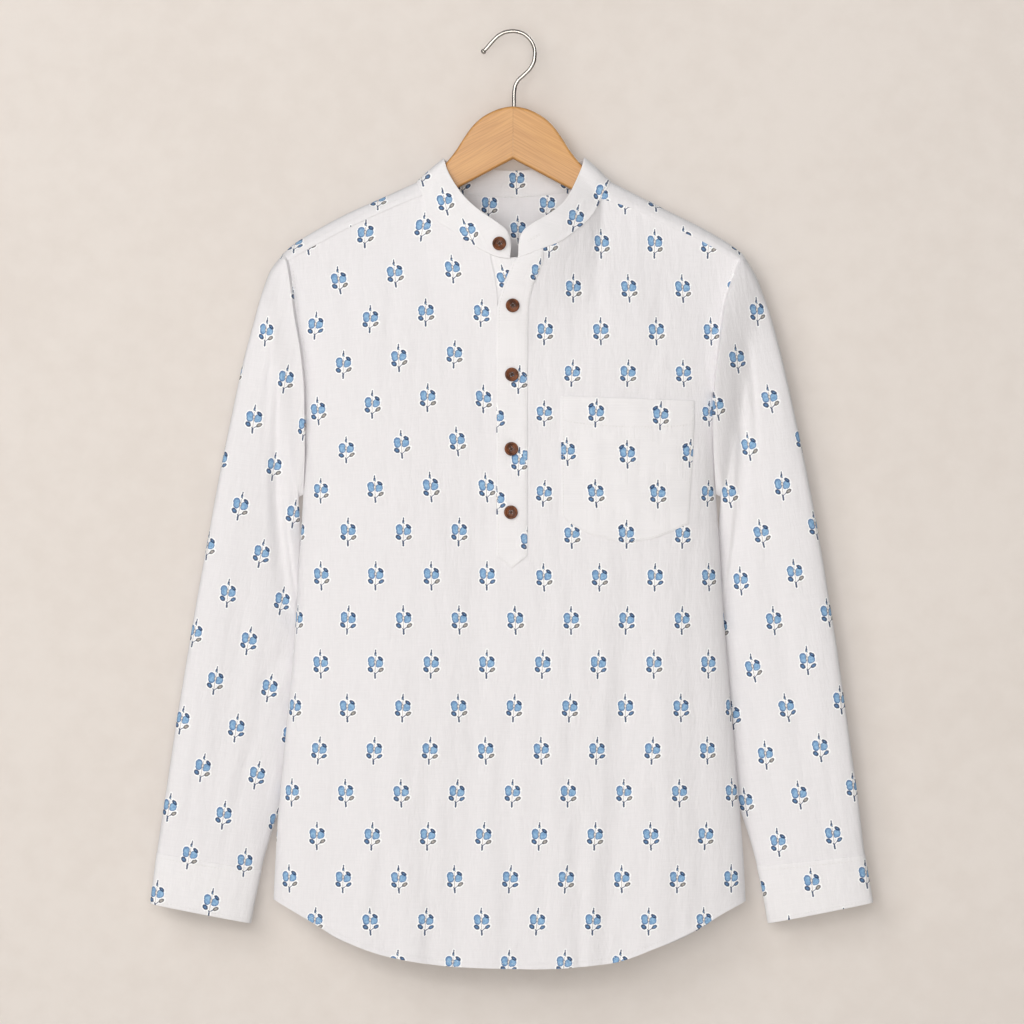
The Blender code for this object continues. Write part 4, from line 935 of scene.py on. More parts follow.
def front_x(c, z):
    """c runs -2 at the left edge, -1 and 1 at the slot's edges, and 2 at the right edge."""
    left, right = slot_edge(LEFT, z), slot_edge(RIGHT, z)
    outer_left = lerp(left, body_edge(LEFT, z), -c - 1)
    outer_right = lerp(right, body_edge(RIGHT, z), c - 1)
    return np.where(c < -1, outer_left, np.where(c > 1, outer_right, lerp(left, right, (c + 1) / 2)))


def front_points(c, v):
    """v runs 0 at the hem to 1 at the shoulder and neck seams."""
    c, v = np.broadcast_arrays(c, v)
    z = lerp(FRONT_HEM[5].z, NECK_CENTRE_Z, v)
    for _ in range(SETTLE_STEPS):
        x = front_x(c, z)
        z = lerp(look_up(FRONT_HEM, "x", "z", x), front_top(x)[0], v)
    y = front_y(x, z)
    on_seam = (np.abs(c) == 2) & (z < ARMPIT_Z + ABOVE_PIT)
    return np.stack([x, np.where(on_seam, y - SIDE_SEAM / 2, y), z], axis=-1)


def spread(points, start):
    """Length along the rows of a grid from a starting column, the cloth laid flat."""
    step = np.linalg.norm(np.diff(points, axis=1), axis=2)
    length = np.concatenate((np.zeros((len(points), 1)), np.cumsum(step, axis=1)), axis=1)
    return length - length[:, start:start + 1]


def hem_rows(count, share):
    """Rows of a panel from its hem up, close together where the hem is turned and sewn."""
    near = np.array(HEM_ROWS) / PANEL_LONG
    return np.concatenate((near, np.linspace(near[-1], share, count)[1:]))


def turned_hem(points, rows, wall_out):
    """Lift the turned hem by its doubled cloth and press a groove along its stitches."""
    down = (rows - rows[0]) * PANEL_LONG
    turned = HEM_LIFT * (1 - ease((down - HEM_TURNED) / 0.8))
    lift = turned - HEM_GROOVE * np.exp(-((down - HEM_GROOVE_AT) / 0.5) ** 2)
    points[:, :, 1] += wall_out * lift[:, None]


neck_c = {}
halves = {}
for side in (LEFT, RIGHT):
    neck = SHOULDER[side][0]
    slot = side * slot_edge(side, neck.front_z)
    edge = side * body_edge(side, neck.front_z)
    neck_c[side] = (neck.front_x - slot) / (edge - slot)
    inner = neck_c[side] * (1 - np.linspace(0, 1, 25) ** 1.15)
    outer = lerp(neck_c[side], 1.0, 1 - np.linspace(0, 1, 52) ** 1.35)
    halves[side] = side * (1 + np.concatenate((outer[:-1], inner)))
front_columns = np.concatenate((halves[LEFT], np.linspace(-1, 1, 9)[1:-1], halves[RIGHT][::-1]))
slot_share = (SLOT_BOTTOM_Z - FRONT_HEM[5].z) / (NECK_CENTRE_Z - FRONT_HEM[5].z)
lower_rows = hem_rows(112, slot_share)
front_rows = np.concatenate((lower_rows, np.linspace(slot_share, 1, 82)[1:]))
points = front_points(front_columns[None, :], front_rows[:, None])
turned_hem(points, front_rows, -1)
plain = np.stack([points[:, :, 0], front_y(points[:, :, 0], points[:, :, 2], 0.0)], axis=-1)
middle = len(front_columns) // 2
flat = np.stack([spread(plain, middle) + points[:, middle, :1], points[:, :, 2]], axis=-1)
right_part = points[:, :, 0] > 0
for column, low, high in ((0, "left_u", "right_u"), (1, "left_v", "right_v")):
    drift = [look_up(PRINT_DRIFT, "z", name, points[:, :, 2]) for name in (low, high)]
    flat[:, :, column] -= np.where(right_part, drift[1], drift[0])

fan = FAN_SHARE * ease((points[:, :, 2] - FAN_FROM_Z) / FAN_RISE)
flat[:, :, 0] += fan * np.maximum(0, -FAN_FROM_X - points[:, :, 0])
tilt = ease((points[:, :, 2] - TILT_FROM_Z) / TILT_RISE) * ease(-points[:, :, 0] / 50)
flat[:, :, 1] -= tilt * (TILT_LIFT - TILT_SHARE * np.maximum(0, -TILT_FROM_X - points[:, :, 0]))


def beside_slot(i, j):
    return abs(front_columns[i] + front_columns[i + 1]) >= 2 or j < len(lower_rows) - 1


front_panel = cloth("front_panel", points, corners_of(flat), SHOWN_WALL, cotton, beside_slot)
front_grid = points
settle_piece(front_panel, "printed_cotton", "front")


# Back: one panel from the yoke seam to its own shirt-tail hem, which is a little longer at
# the sides than the front's. It hangs in wider folds.
BACK_HEM = [
    Hem(-230.4, -833.7), Hem(-195, -856.0), Hem(-165, -875.0), Hem(-115, -889.5),
    Hem(-52, -895.5), Hem(22, -896.5), Hem(90, -893.5), Hem(142, -881.0),
    Hem(176, -865.8), Hem(202, -848.8), Hem(223.7, -835.6),
]
BACK_CREASES = [
    Crease(-120, -300, -132, -600, -138, -905, 32, 34, 4.4, 0.0),
    Crease(-30, -260, -22, -560, -18, -905, 26, 34, 3.8, 0.0),
    Crease(72, -320, 84, -600, 84, -905, 34, 24, 4.8, 0.0),
    Crease(150, -420, 158, -640, 160, -905, 24, 26, 2.8, 0.0),
    Crease(-180, -260, -176, -330, -164, -430, 10, 12, 1.8, 0.6),
    Crease(178, -262, 172, -330, 160, -424, 10, 12, 1.8, 0.6),
    Crease(30, -520, 34, -700, 30, -905, 16, 16, -1.8, 0.0),
    Crease(-78, -480, -74, -660, -80, -905, 16, 15, -1.6, 0.0),
    Crease(-176, -452, -168, -540, -158, -640, 12, 12, 1.6, 0.6),
    Crease(120, -600, 116, -740, 122, -905, 12, 14, -1.5, 0.0),
]


def back_top(x):
    """Height and depth of the yoke's upper edge at the back."""
    rows = COLLAR[BACK_ROWS]
    z = look_up(rows, "base_x", "base_z", x)
    y = look_up(rows, "base_x", "base_y", x)
    for side in (LEFT, RIGHT):
        beyond = side * x >= SHOULDER[side][0].back_x
        z = np.where(beyond, look_up(SHOULDER[side], "back_x", "back_z", side * x), z)
        y = np.where(beyond, ARCH_DEPTH, y)
    return z, y


def back_y(x, z, creased=1.0):
    q = across(x, z)
    edge = look_up(SECTIONS, "z", "seam_y", z) + look_up(SECTIONS, "z", "back_open", z)
    mid = look_up(SECTIONS, "z", "back_mid", z)
    lip = look_up(SECTIONS, "z", "back_lip", z)
    level = lip * np.sqrt(1 - q ** BACK_LIP_POWER) + (1 - lip) * (1 - q * q)
    fold = creased * (creases(BACK_CREASES, x, z) + crinkle(x, z, 8, CRINKLE))
    hang = edge + (mid - edge) * level - fold * np.clip((1 - q) / FOLD_FADE, 0, 1)
    top_z, top_y = back_top(x)
    return lerp(top_y, hang, ease((top_z - z) / DRAPE))


def back_points(c, v):
    """c runs -1 at the left edge to 1 at the right, v 0 at the hem to 1 at the yoke seam."""
    c, v = np.broadcast_arrays(c, v)
    z = lerp(BACK_HEM[5].z, YOKE_SEAM_Z, v)
    for _ in range(SETTLE_STEPS):
        x = lerp(body_edge(LEFT, z), body_edge(RIGHT, z), (c + 1) / 2)
        z = lerp(look_up(BACK_HEM, "x", "z", x), YOKE_SEAM_Z - SEAM, v)
    y = back_y(x, z)
    on_seam = (np.abs(c) == 1) & (z < ARMPIT_Z + ABOVE_PIT)
    return np.stack([x, np.where(on_seam, y + SIDE_SEAM / 2, y), z], axis=-1)


half = 1 - (1 - np.linspace(0, 1, 66)) ** 1.25
back_columns = np.concatenate((-half[:0:-1], half))
back_rows = hem_rows(168, 1.0)
points = back_points(back_columns[None, :], back_rows[:, None])
turned_hem(points, back_rows, 1)
plain = np.stack([points[:, :, 0], back_y(points[:, :, 0], points[:, :, 2], 0.0)], axis=-1)
flat = np.stack([spread(plain, len(back_columns) // 2), points[:, :, 2]], axis=-1)
back_panel = cloth("back_panel", points, corners_of(flat), SHOWN_WALL, cotton, outward=(0, 1, 0))
back_grid = points
settle_piece(back_panel, "printed_cotton", "back")


# Yoke: lies over the hanger's arms from a forward shoulder seam to a straight seam across the
# back, and is hollowed at the back of the neck.
ARCH_ROWS = 18
DROP_ROWS = 26
YOKE_SIDE = 38
YOKE_MIDDLE = 56
YOKE_LAP_OUT = 0.9
YOKE_LAP_DOWN = 1.4
LAP_TURN = 50
LAP_SPREAD = 35
DROP_PRINT_SHIFT = 3.0
YOKE_FLOWER = (-23.0, -162.6)
NECK_FLOWERS = [
    Flower(-23.0, -162.5, 0, True), Flower(33.1, -162.5, 0, True), Flower(4.8, -186.6, 0, True),
    Flower(-52.0, -188.0, 0, True), Flower(61.0, -188.0, 0, True), Flower(-24.0, -213.0, 0, True),
    Flower(33.0, -213.0, 0, True),
]
NECK_WINDOW = (72.0, -226.0)


def arch_points(side, f, turn):
    """The yoke over a shoulder: f from the neck to the armhole, turn -90 at the front seam,
    0 on the ridge and 90 at the foot behind."""
    f, turn = np.broadcast_arrays(f, turn)
    rows = SHOULDER[side]
    at = f * (len(rows) - 1)
    fall = 1 - np.cos(np.radians(turn))
    front = turn < 0
    foot_x = np.where(front, along_rows(rows, "front_x", at), along_rows(rows, "back_x", at))
    foot_z = np.where(front, along_rows(rows, "front_z", at), along_rows(rows, "back_z", at))
    x = lerp(along_rows(rows, "ridge_x", at), foot_x, fall)
    z = lerp(along_rows(rows, "ridge_z", at), foot_z, fall)
    return np.stack([side * x, ARCH_DEPTH * np.sin(np.radians(turn)), z], axis=-1)


def drop_points(side, f, r):
    """The yoke's back below the arch, r from 0 at the arch's foot to 1 at the back seam."""
    foot = arch_points(side, f, np.full(np.shape(f), 90.0))
    neck_x = SHOULDER[side][0].back_x
    tip_x = SHOULDER[side][-1].back_x
    share = (side * foot[..., 0] - neck_x) / (tip_x - neck_x)
    hem_x = side * body_edge(side, YOKE_SEAM_Z)
    x = lerp(foot[..., 0], side * lerp(neck_x, hem_x, share), r)
    z = lerp(foot[..., 2], YOKE_SEAM_Z, r)
    return np.stack([x, back_y(x, z), z], axis=-1)


neck_x = SHOULDER[LEFT][0].back_x
points = np.zeros((ARCH_ROWS + DROP_ROWS + 1, 2 * YOKE_SIDE + YOKE_MIDDLE + 1, 3))
turns = np.linspace(-90, 90, ARCH_ROWS + 1)
drops = np.linspace(0, 1, DROP_ROWS + 1)
shares = np.linspace(0, 1, YOKE_SIDE + 1)
side_columns = {
    LEFT: np.arange(YOKE_SIDE, -1, -1),
    RIGHT: np.arange(YOKE_SIDE + YOKE_MIDDLE, points.shape[1]),
}
for side, columns in side_columns.items():
    points[:ARCH_ROWS + 1, columns] = arch_points(side, shares[None, :], turns[:, None])
    points[ARCH_ROWS:, columns] = drop_points(side, np.tile(shares, (DROP_ROWS + 1, 1)), drops[:, None])
middle_x = np.linspace(-neck_x, neck_x, YOKE_MIDDLE + 1)[None, :]
middle_z = lerp(back_top(middle_x)[0], YOKE_SEAM_Z, drops[:, None])
middle_x = np.broadcast_to(middle_x, middle_z.shape)
points[ARCH_ROWS:, YOKE_SIDE:YOKE_SIDE + YOKE_MIDDLE + 1] = np.stack(
    [middle_x, back_y(middle_x, middle_z), middle_z], axis=-1)
lap = ease((-turns - LAP_TURN) / LAP_SPREAD)
points[:ARCH_ROWS + 1, :, 1] -= YOKE_LAP_OUT * lap[:, None]
points[0, :, 2] -= YOKE_LAP_DOWN
rise = np.linalg.norm(np.diff(points, axis=0), axis=2)
length = np.concatenate((np.zeros((1, points.shape[1])), np.cumsum(rise, axis=0)))
ridge = ARCH_ROWS // 2
flat_z = np.where(
    np.arange(len(points))[:, None] > ARCH_ROWS, points[:, :, 2],
    points[ridge, :, 2] - np.abs(length - length[ridge]))
flat_z[ARCH_ROWS + 1:] -= DROP_PRINT_SHIFT
flat = np.stack([points[:, :, 0] - YOKE_FLOWER[0] + FLOWER[0], flat_z - YOKE_FLOWER[1] + FLOWER[1]], axis=-1)
corners = corners_of(flat)
inside = corners_by_flowers(points, NECK_FLOWERS)
middle = corners_of(points).mean(axis=2)
in_neck = (np.abs(middle[..., 0]) < NECK_WINDOW[0]) & (middle[..., 2] > NECK_WINDOW[1]) & (middle[..., 1] > 0)
corners = np.where(in_neck[..., None, None], inside, corners)


def beside_neck(i, j):
    return j >= ARCH_ROWS or not YOKE_SIDE <= i < YOKE_SIDE + YOKE_MIDDLE


yoke_panel = cloth("yoke_panel", points, corners, SHOWN_WALL, cotton, beside_neck, outward=(0, 1, 0))
yoke_grid = points
settle_piece(yoke_panel, "printed_cotton", "yoke")


# Sleeves: long one-piece tubes sewn into the armholes, seamed under the arm. They hang
# slightly behind the body, flattened, with soft drag folds from the shoulder.
SLEEVE_OUTER_Y = 2.0
SLEEVE_OUTER_SETTLE = 0.167
SLEEVE_SETTLE = 0.1
SLEEVE_ROUND = 2.4
SLEEVE_LEAN = radians(8.2)
SLEEVE_PRINT_SHRINK = 0.985
SLEEVE_PRINT_TURN = 0.7
SLEEVE_TURN_ALLOWANCE = 6.0
HALF_RING = 46
SLEEVE_ROWS = 180
CUFF_START = 1.0
CUFF_END = 1.35
BACK_FOLD_SHARE = 0.7
SLEEVE_HALF_WIDE = 120
SLEEVE_LONG = 620
SLEEVE_CRINKLE = 0.30
Inner = namedtuple("Inner", "z x y")
SLEEVE_OUTER = {
    LEFT: [
        Edge(-838.5, 349.0), Edge(-776, 340.8), Edge(-719, 332.2), Edge(-661, 323.5),
        Edge(-603, 313.9), Edge(-546, 304.3), Edge(-488, 293.8), Edge(-430, 283.2),
        Edge(-373, 271.7), Edge(-315, 259.2), Edge(-286, 251.5), Edge(-258, 243.8),
        Edge(-243, 239.0), Edge(-229, 233.3), Edge(-212.5, 221.0),
    ],
    RIGHT: [
        Edge(-837.5, 346.3), Edge(-786, 337.9), Edge(-738, 332.2), Edge(-690, 325.4),
        Edge(-642, 318.7), Edge(-594, 312.0), Edge(-546, 304.3), Edge(-498, 296.6),
        Edge(-450, 288.0), Edge(-402, 278.4), Edge(-363, 270.1), Edge(-319, 260.2),
        Edge(-273, 248.1), Edge(-253, 241.0), Edge(-236, 234.6), Edge(-213.5, 221.5),
    ],
}
SLEEVE_INNER = {
    LEFT: [
        Inner(-857.7, 253.4, 9.0), Inner(-828, 247.9, 9.5), Inner(-795, 240.4, 11.0),
        Inner(-764, 231.4, 14.0), Inner(-735, 220.5, 17.0), Inner(-690, 206.5, 19.5),
        Inner(-630, 197.0, 20.5), Inner(-575, 198.0, 20.5), Inner(-535, 201.0, 19.0),
        Inner(-505, 203.5, 16.5), Inner(-480, 204.8, 13.0), Inner(-460, 206.2, 9.0),
        Inner(-446, 207.0, 5.5), Inner(-440, 201.5, 3.0),
    ],
    RIGHT: [
        Inner(-857.7, 246.5, 9.0), Inner(-826, 241.0, 9.5), Inner(-795, 234.0, 11.0),
        Inner(-771, 227.2, 14.0), Inner(-735, 214.5, 17.0), Inner(-690, 200.5, 19.5),
        Inner(-630, 191.0, 20.5), Inner(-575, 192.0, 20.5), Inner(-535, 195.0, 19.0),
        Inner(-505, 197.4, 16.5), Inner(-480, 198.6, 13.0), Inner(-460, 199.8, 9.0),
        Inner(-446, 200.6, 5.5), Inner(-440, 194.9, 3.0),
    ],
}
Station = namedtuple("Station", "t inner_z rise half_depth")
SLEEVE_STATIONS = {
    LEFT: [
        Station(0.0, -440.0, 227.5, 12.0), Station(0.06, -447.0, 211.0, 12.0),
        Station(0.2, -513.0, 189.0, 13.5), Station(0.4, -588.0, 146.0, 14.0),
        Station(0.6, -660.0, 102.0, 14.0), Station(0.8, -733.0, 58.0, 13.5),
        Station(1.0, -806.5, 17.2, 12.5), Station(1.35, -857.7, 19.2, 12.0),
    ],
    RIGHT: [
        Station(0.0, -440.0, 226.5, 12.0), Station(0.06, -447.0, 210.0, 12.0),
        Station(0.2, -513.0, 186.0, 13.5), Station(0.4, -588.0, 142.0, 14.0),
        Station(0.6, -660.0, 97.0, 14.0), Station(0.8, -733.0, 50.0, 13.5),
        Station(1.0, -802.3, 11.0, 12.5), Station(1.35, -857.7, 20.2, 12.0),
    ],
}
SLEEVE_FLOWER = {LEFT: (-217.9, -331.6), RIGHT: (259.2, -434.3)}
# In the sleeve's own terms: t down it, u across its front half from the outer edge
SleeveCrease = namedtuple("SleeveCrease", "side top_t low_t top_u low_u reach depth")
SLEEVE_CREASES = [
    SleeveCrease(LEFT, 0.02, 0.45, 0.42, 0.78, 0.16, 5.0),
    SleeveCrease(LEFT, 0.35, 0.98, 0.34, 0.40, 0.15, 2.0),
    SleeveCrease(LEFT, 0.03, 0.22, 0.22, 0.40, 0.08, 1.8),
    SleeveCrease(LEFT, 0.10, 0.40, 0.62, 0.92, 0.07, 2.0),
    SleeveCrease(LEFT, 0.42, 0.66, 0.86, 0.58, 0.10, 1.8),
    SleeveCrease(LEFT, 0.55, 0.99, 0.66, 0.62, 0.08, 1.4),
    SleeveCrease(LEFT, 0.70, 0.99, 0.20, 0.26, 0.08, 1.3),
    SleeveCrease(RIGHT, 0.04, 0.42, 0.50, 0.80, 0.16, 4.0),
    SleeveCrease(RIGHT, 0.30, 0.98, 0.42, 0.36, 0.15, 2.5),
    SleeveCrease(RIGHT, 0.03, 0.24, 0.26, 0.46, 0.08, 1.8),
    SleeveCrease(RIGHT, 0.12, 0.44, 0.66, 0.94, 0.07, 2.0),
    SleeveCrease(RIGHT, 0.45, 0.72, 0.88, 0.60, 0.10, 1.8),
    SleeveCrease(RIGHT, 0.60, 0.99, 0.70, 0.64, 0.09, 1.5),
    SleeveCrease(RIGHT, 0.72, 0.99, 0.18, 0.24, 0.08, 1.3),
]


def sleeve_chord(side, t):
    rows = SLEEVE_STATIONS[side]
    times = [row.t for row in rows]
    inner_z = smooth(times, [row.inner_z for row in rows], t)
    outer_z = inner_z + smooth(times, [row.rise for row in rows], t)
    half_depth = smooth(times, [row.half_depth for row in rows], t)
    outer_x = side * look_up(SLEEVE_OUTER[side], "z", "x", outer_z)
    inner_x = side * look_up(SLEEVE_INNER[side], "z", "x", inner_z)
    inner_y = look_up(SLEEVE_INNER[side], "z", "y", inner_z)
    outer_y = SLEEVE_OUTER_Y * ease(t / SLEEVE_OUTER_SETTLE)
    outer = np.stack([outer_x, outer_y, outer_z], axis=-1)
    inner = np.stack([inner_x, inner_y, inner_z], axis=-1)
    return outer, inner, half_depth


def sleeve_fold(side, t, u):
    total = 0.0
    for crease in SLEEVE_CREASES:
        if crease.side != side:
            continue
        down = np.clip((t - crease.top_t) / (crease.low_t - crease.top_t), 0, 1)
        away = np.clip(np.abs(u - lerp(crease.top_u, crease.low_u, down)) / crease.reach, 0, 1)
        total = total + crease.depth * np.sin(pi * down) * (1 + np.cos(pi * away)) / 2
    return total


def armhole(side):
    """The armhole edge from the ridge round the front to the armpit and up the back."""
    arch = 7
    turns = np.linspace(0, 90, arch)
    pit_front = (ARMPIT_Z - FRONT_HEM[0].z) / (SHOULDER[LEFT][-1].front_z - FRONT_HEM[0].z)
    pit_back = (ARMPIT_Z - BACK_HEM[0].z) / (YOKE_SEAM_Z - BACK_HEM[0].z)
    rest = HALF_RING + 1 - arch
    front_down = front_points(np.float64(2 * side), np.linspace(1, pit_front, rest + 1)[1:])
    front = np.concatenate((arch_points(side, np.float64(1), -turns), front_down))
    tail = 3
    side_back = drop_points(side, np.ones(tail), np.linspace(0, 1, tail + 1)[1:])
    back_down = back_points(np.float64(side), np.linspace(1, pit_back, rest - tail + 1)[1:])
    back = np.concatenate((arch_points(side, np.float64(1), turns), side_back, back_down))
    pit = (front[-1] + back[-1]) / 2
    front[-1] = pit
    back[-1] = pit
    return front, back


def sleeve_rings(side, times):
    """Rings of a sleeve, and the flat places of each cell's two sides."""
    outer, inner, half_depth = sleeve_chord(side, times)
    outer_0, inner_0, _ = sleeve_chord(side, np.float64(0.0))
    settle = ease(times / SLEEVE_SETTLE)[:, None]
    u_even = (1 - np.cos(pi * np.arange(HALF_RING + 1) / HALF_RING)) / 2
    faces = []
    for face, edge in zip((-1, 1), armhole(side)):
        u_loop = (edge[0, 2] - edge[:, 2]) / (edge[0, 2] - edge[-1, 2])
        u = lerp(u_loop[None, :], u_even[None, :], settle)
        bulge = (1 - np.abs(2 * u - 1) ** SLEEVE_ROUND) ** (1 / SLEEVE_ROUND) * half_depth[:, None]
        t = times[:, None]
        fold = sleeve_fold(side, t, u) if face < 0 else BACK_FOLD_SHARE * sleeve_fold(side, t, 1 - u)
        seed = 20 + face + 3 * side
        streaks = crinkle(u * SLEEVE_HALF_WIDE, t * SLEEVE_LONG, seed, SLEEVE_CRINKLE) * np.sin(pi * u)
        chord = outer[:, None] + (inner - outer)[:, None] * u[..., None]
        chord[..., 1] += face * np.maximum(0.0, bulge - fold + streaks * settle)
        chord_0 = outer_0 + (inner_0 - outer_0) * u_loop[:, None]
        pull = (edge - chord_0)[None] * (1 - settle)[..., None]
        points = chord + pull
        at_start = times == 0
        points[at_start] = edge
        faces.append(points)
    return faces


def tube(name, side, times, wall, material, soft=0):
    front, back = sleeve_rings(side, times)
    lean_x = np.array([cos(SLEEVE_LEAN), 0, side * sin(SLEEVE_LEAN)])
    lean_z = np.array([-side * sin(SLEEVE_LEAN), 0, cos(SLEEVE_LEAN)])
    flower = Vector((SLEEVE_FLOWER[side][0], 0, SLEEVE_FLOWER[side][1]))
    flower_u, flower_v = np.dot(lean_x, flower), np.dot(lean_z, flower)

    def flat_of(points, start_u, start, way):
        depth = np.stack([points @ lean_x, points[..., 1]], axis=-1)
        return start_u + way * spread(depth, start)

    middle = HALF_RING // 2
    front_u = flat_of(front, (front[:, middle] @ lean_x)[:, None], middle, -side)
    turn_u = sleeve_chord(side, np.float64(SLEEVE_PRINT_TURN))[0] @ lean_x
    back_u = 2 * (turn_u + side * SLEEVE_TURN_ALLOWANCE) - back @ lean_x
    sides = []
    for u, points in ((front_u, front), (back_u, back)):
        v = (points @ lean_z - flower_v) * SLEEVE_PRINT_SHRINK
        sides.append(np.stack([u - flower_u + FLOWER[0], v + FLOWER[1]], axis=-1))
    ring = np.concatenate((front[:, :-1], back[:, :0:-1]), axis=1)
    corners = np.concatenate((corners_of(sides[0]), corners_of(sides[1][:, ::-1])), axis=1)
    return cloth(name, ring, corners, wall, material, closed=True, outward=(side, 0, 0), soft=soft)


for side, name in ((LEFT, "left"), (RIGHT, "right")):
    times = np.linspace(0, CUFF_START, SLEEVE_ROWS + 1)
    sleeve = tube("sleeve_tube_" + name, side, times, SHOWN_WALL, cotton)
    settle_piece(sleeve, "printed_cotton", "sleeve_" + name)


# Cuffs: a folded band of interlined cotton closes each sleeve, stitched along its seam.
CUFF_SHOWN_WALL = 1.7
CUFF_ROWS = 18
for side, name in ((LEFT, "left"), (RIGHT, "right")):
    times = np.linspace(CUFF_START, CUFF_END, CUFF_ROWS + 1)
    cuff = tube("cuff_band_" + name, side, times, CUFF_SHOWN_WALL, double_cotton, 0.5)
    settle_piece(cuff, "interlined_cotton", "cuff_" + name)


# Collar band: a stand collar of interlined cotton sewn to the neck seam, open at the front
# with rounded ends. Its left end carries a button, its right end a buttonhole.
COLLAR_SHOWN_WALL = 1.8
COLLAR_FOOT = -0.03
COLLAR_BULGE = 0.7
COLLAR_FOOT_BULGE = 0.75
COLLAR_FOOT_REACH = 0.16
COLLAR_CRINKLE = 0.16
COLLAR_FLOWERS = [
    Flower(-65.3, -161.7, -16, False), Flower(-43.2, -191.4, -26, False),
    Flower(60.0, -178.0, 15, False), Flower(86.3, -153.4, 24, False),
    Flower(-88.0, -133.0, -10, False), Flower(30.0, -250.0, 20, False),
    Flower(3.5, -138.5, 0, True), Flower(-50.0, -140.0, -8, True), Flower(54.0, -139.0, 8, True),
    Flower(-82.0, -141.0, -20, True), Flower(82.0, -140.0, 20, True),
]


def collar_points(at, up):
    """at counts table rows from the left end, up runs from the seam to the top edge."""
    base = np.stack([along_rows(COLLAR, "base_" + axis, at) for axis in "xyz"], axis=-1)
    top = np.stack([along_rows(COLLAR, "top_" + axis, at) for axis in "xyz"], axis=-1)
    return lerp(base, top, np.asarray(up)[..., None])


def grid_normals(points, outward):
    """Unit normals of a grid of points, turned outward where the first one isn't."""
    run = np.gradient(points, axis=1)
    climb = np.gradient(points, axis=0)
    normal = np.cross(run, climb)
    normal /= np.maximum(np.linalg.norm(normal, axis=-1, keepdims=True), 1e-9)
    middle = normal[normal.shape[0] // 2, normal.shape[1] // 2]
    return normal if np.dot(middle, outward) > 0 else -normal


at = np.linspace(0, len(COLLAR) - 1, (len(COLLAR) - 1) * 8 + 1)[None, :]
up = np.linspace(COLLAR_FOOT, 1, 15)[:, None]
at, up = np.broadcast_arrays(at, up)
points = collar_points(at, up)
collar_grid = points
collar_out = grid_normals(points, (0, 1, 0))
bulge = COLLAR_BULGE * np.sin(pi * up) + crinkle(at * 8, up * 40, 31, COLLAR_CRINKLE)
bulge = bulge + COLLAR_FOOT_BULGE * (1 - ease((up - COLLAR_FOOT) / COLLAR_FOOT_REACH))
points = points + collar_out * bulge[..., None]
collar_band = cloth("collar_stand", points, corners_by_flowers(collar_grid, COLLAR_FLOWERS),
                    COLLAR_SHOWN_WALL, double_cotton, soft=0.55)
settle_piece(collar_band, "interlined_cotton", "collar_band")


# Placket: an upper strip with a pointed foot, sewn down over the slit, laps over an under
# strip behind it. Both are doubled cotton.
STRIP_WALL = 1.0
STRIP_OUT = 1.35
STRIP_TUCK = 0.8
STRIP_TOP_SINK = 1.3
STRIP_EDGE_DIP = 0.45
STRIP_RIPPLE = 0.45
UPPER_STRIP = [
    Strip(-520, -16.0, 13.6), Strip(-300, -15.6, 14.0), Strip(-267, -15.0, 14.6),
    Strip(-250, -11.0, 17.6), Strip(-235, -5.6, 22.8), Strip(-221, 0.4, 28.8),
]
UPPER_STRIP_TOP_Z = -218.0
UPPER_STRIP_SHOULDER_Z = -503.0
UPPER_STRIP_POINT_Z = -515.0
UNDER_STRIP_TOP_Z = -217.6
UNDER_STRIP_BOTTOM_Z = -507.0
UNDER_STRIP_TUCK = 3.0
UNDER_STRIP_WIDTH = 26.0
STRIP_FLOWERS = [
    Flower(5.8, -332.5, 0, False), Flower(5.8, -411.0, 0, False), Flower(-16.2, -369.5, 0, False),
    Flower(-15.6, -448.0, 0, False), Flower(15.0, -407.5, 0, False), Flower(14.6, -487.0, 0, False),
    Flower(24.8, -230.2, 8, False), Flower(-40.0, -260.0, 0, False), Flower(50.0, -290.0, 0, False),
]
UNDER_FLOWERS = [
    Flower(-8.0, -236.0, -20, False), Flower(4.0, -330.0, 0, False), Flower(-6.0, -440.0, 0, False),
]


def on_front(x, z, out):
    """Places over the front, moved out along its normal, and the normals there."""
    step = 2.0
    slope_x = (front_y(x + step, z) - front_y(x - step, z)) / (2 * step)
    slope_z = (front_y(x, z + step) - front_y(x, z - step)) / (2 * step)
    normal = np.stack([slope_x, -np.ones(np.shape(slope_x)), slope_z], axis=-1)
    normal /= np.linalg.norm(normal, axis=-1, keepdims=True)
    out = np.broadcast_to(out, slope_x.shape)[..., None]
    return np.stack([x, front_y(x, z), z], axis=-1) + normal * out, normal


s = np.linspace(0, 1, 15)[None, :]
rise = np.linspace(0, 1, 141)[:, None]
foot = lerp(UPPER_STRIP_SHOULDER_Z, UPPER_STRIP_POINT_Z, 1 - np.abs(2 * s - 1))
z = lerp(foot, UPPER_STRIP_TOP_Z, rise)
for _ in range(SETTLE_STEPS):
    x = lerp(look_up(UPPER_STRIP, "z", "left", z), look_up(UPPER_STRIP, "z", "right", z), s)
    z = lerp(foot, front_top(x)[0] + STRIP_TUCK, rise)
tucked = STRIP_TOP_SINK * ease((rise - 0.985) / 0.015)
edge_dip = STRIP_EDGE_DIP * (1 - ease(np.minimum(s, 1 - s) / 0.12))
ripple = STRIP_RIPPLE * np.sin(z / 11.0 + 2.0 * s) * np.sin(z / 29.0) + crinkle(s * 29, z, 41, 0.25)
points, _ = on_front(x, z, STRIP_OUT - edge_dip - tucked + ripple * np.sin(pi * s))
upper_grid = points
upper_strip = cloth("placket_upper_strip", points, corners_by_flowers(points, STRIP_FLOWERS),
                    STRIP_WALL, double_cotton, soft=0.3)
settle_piece(upper_strip, "interlined_cotton", "placket_upper")

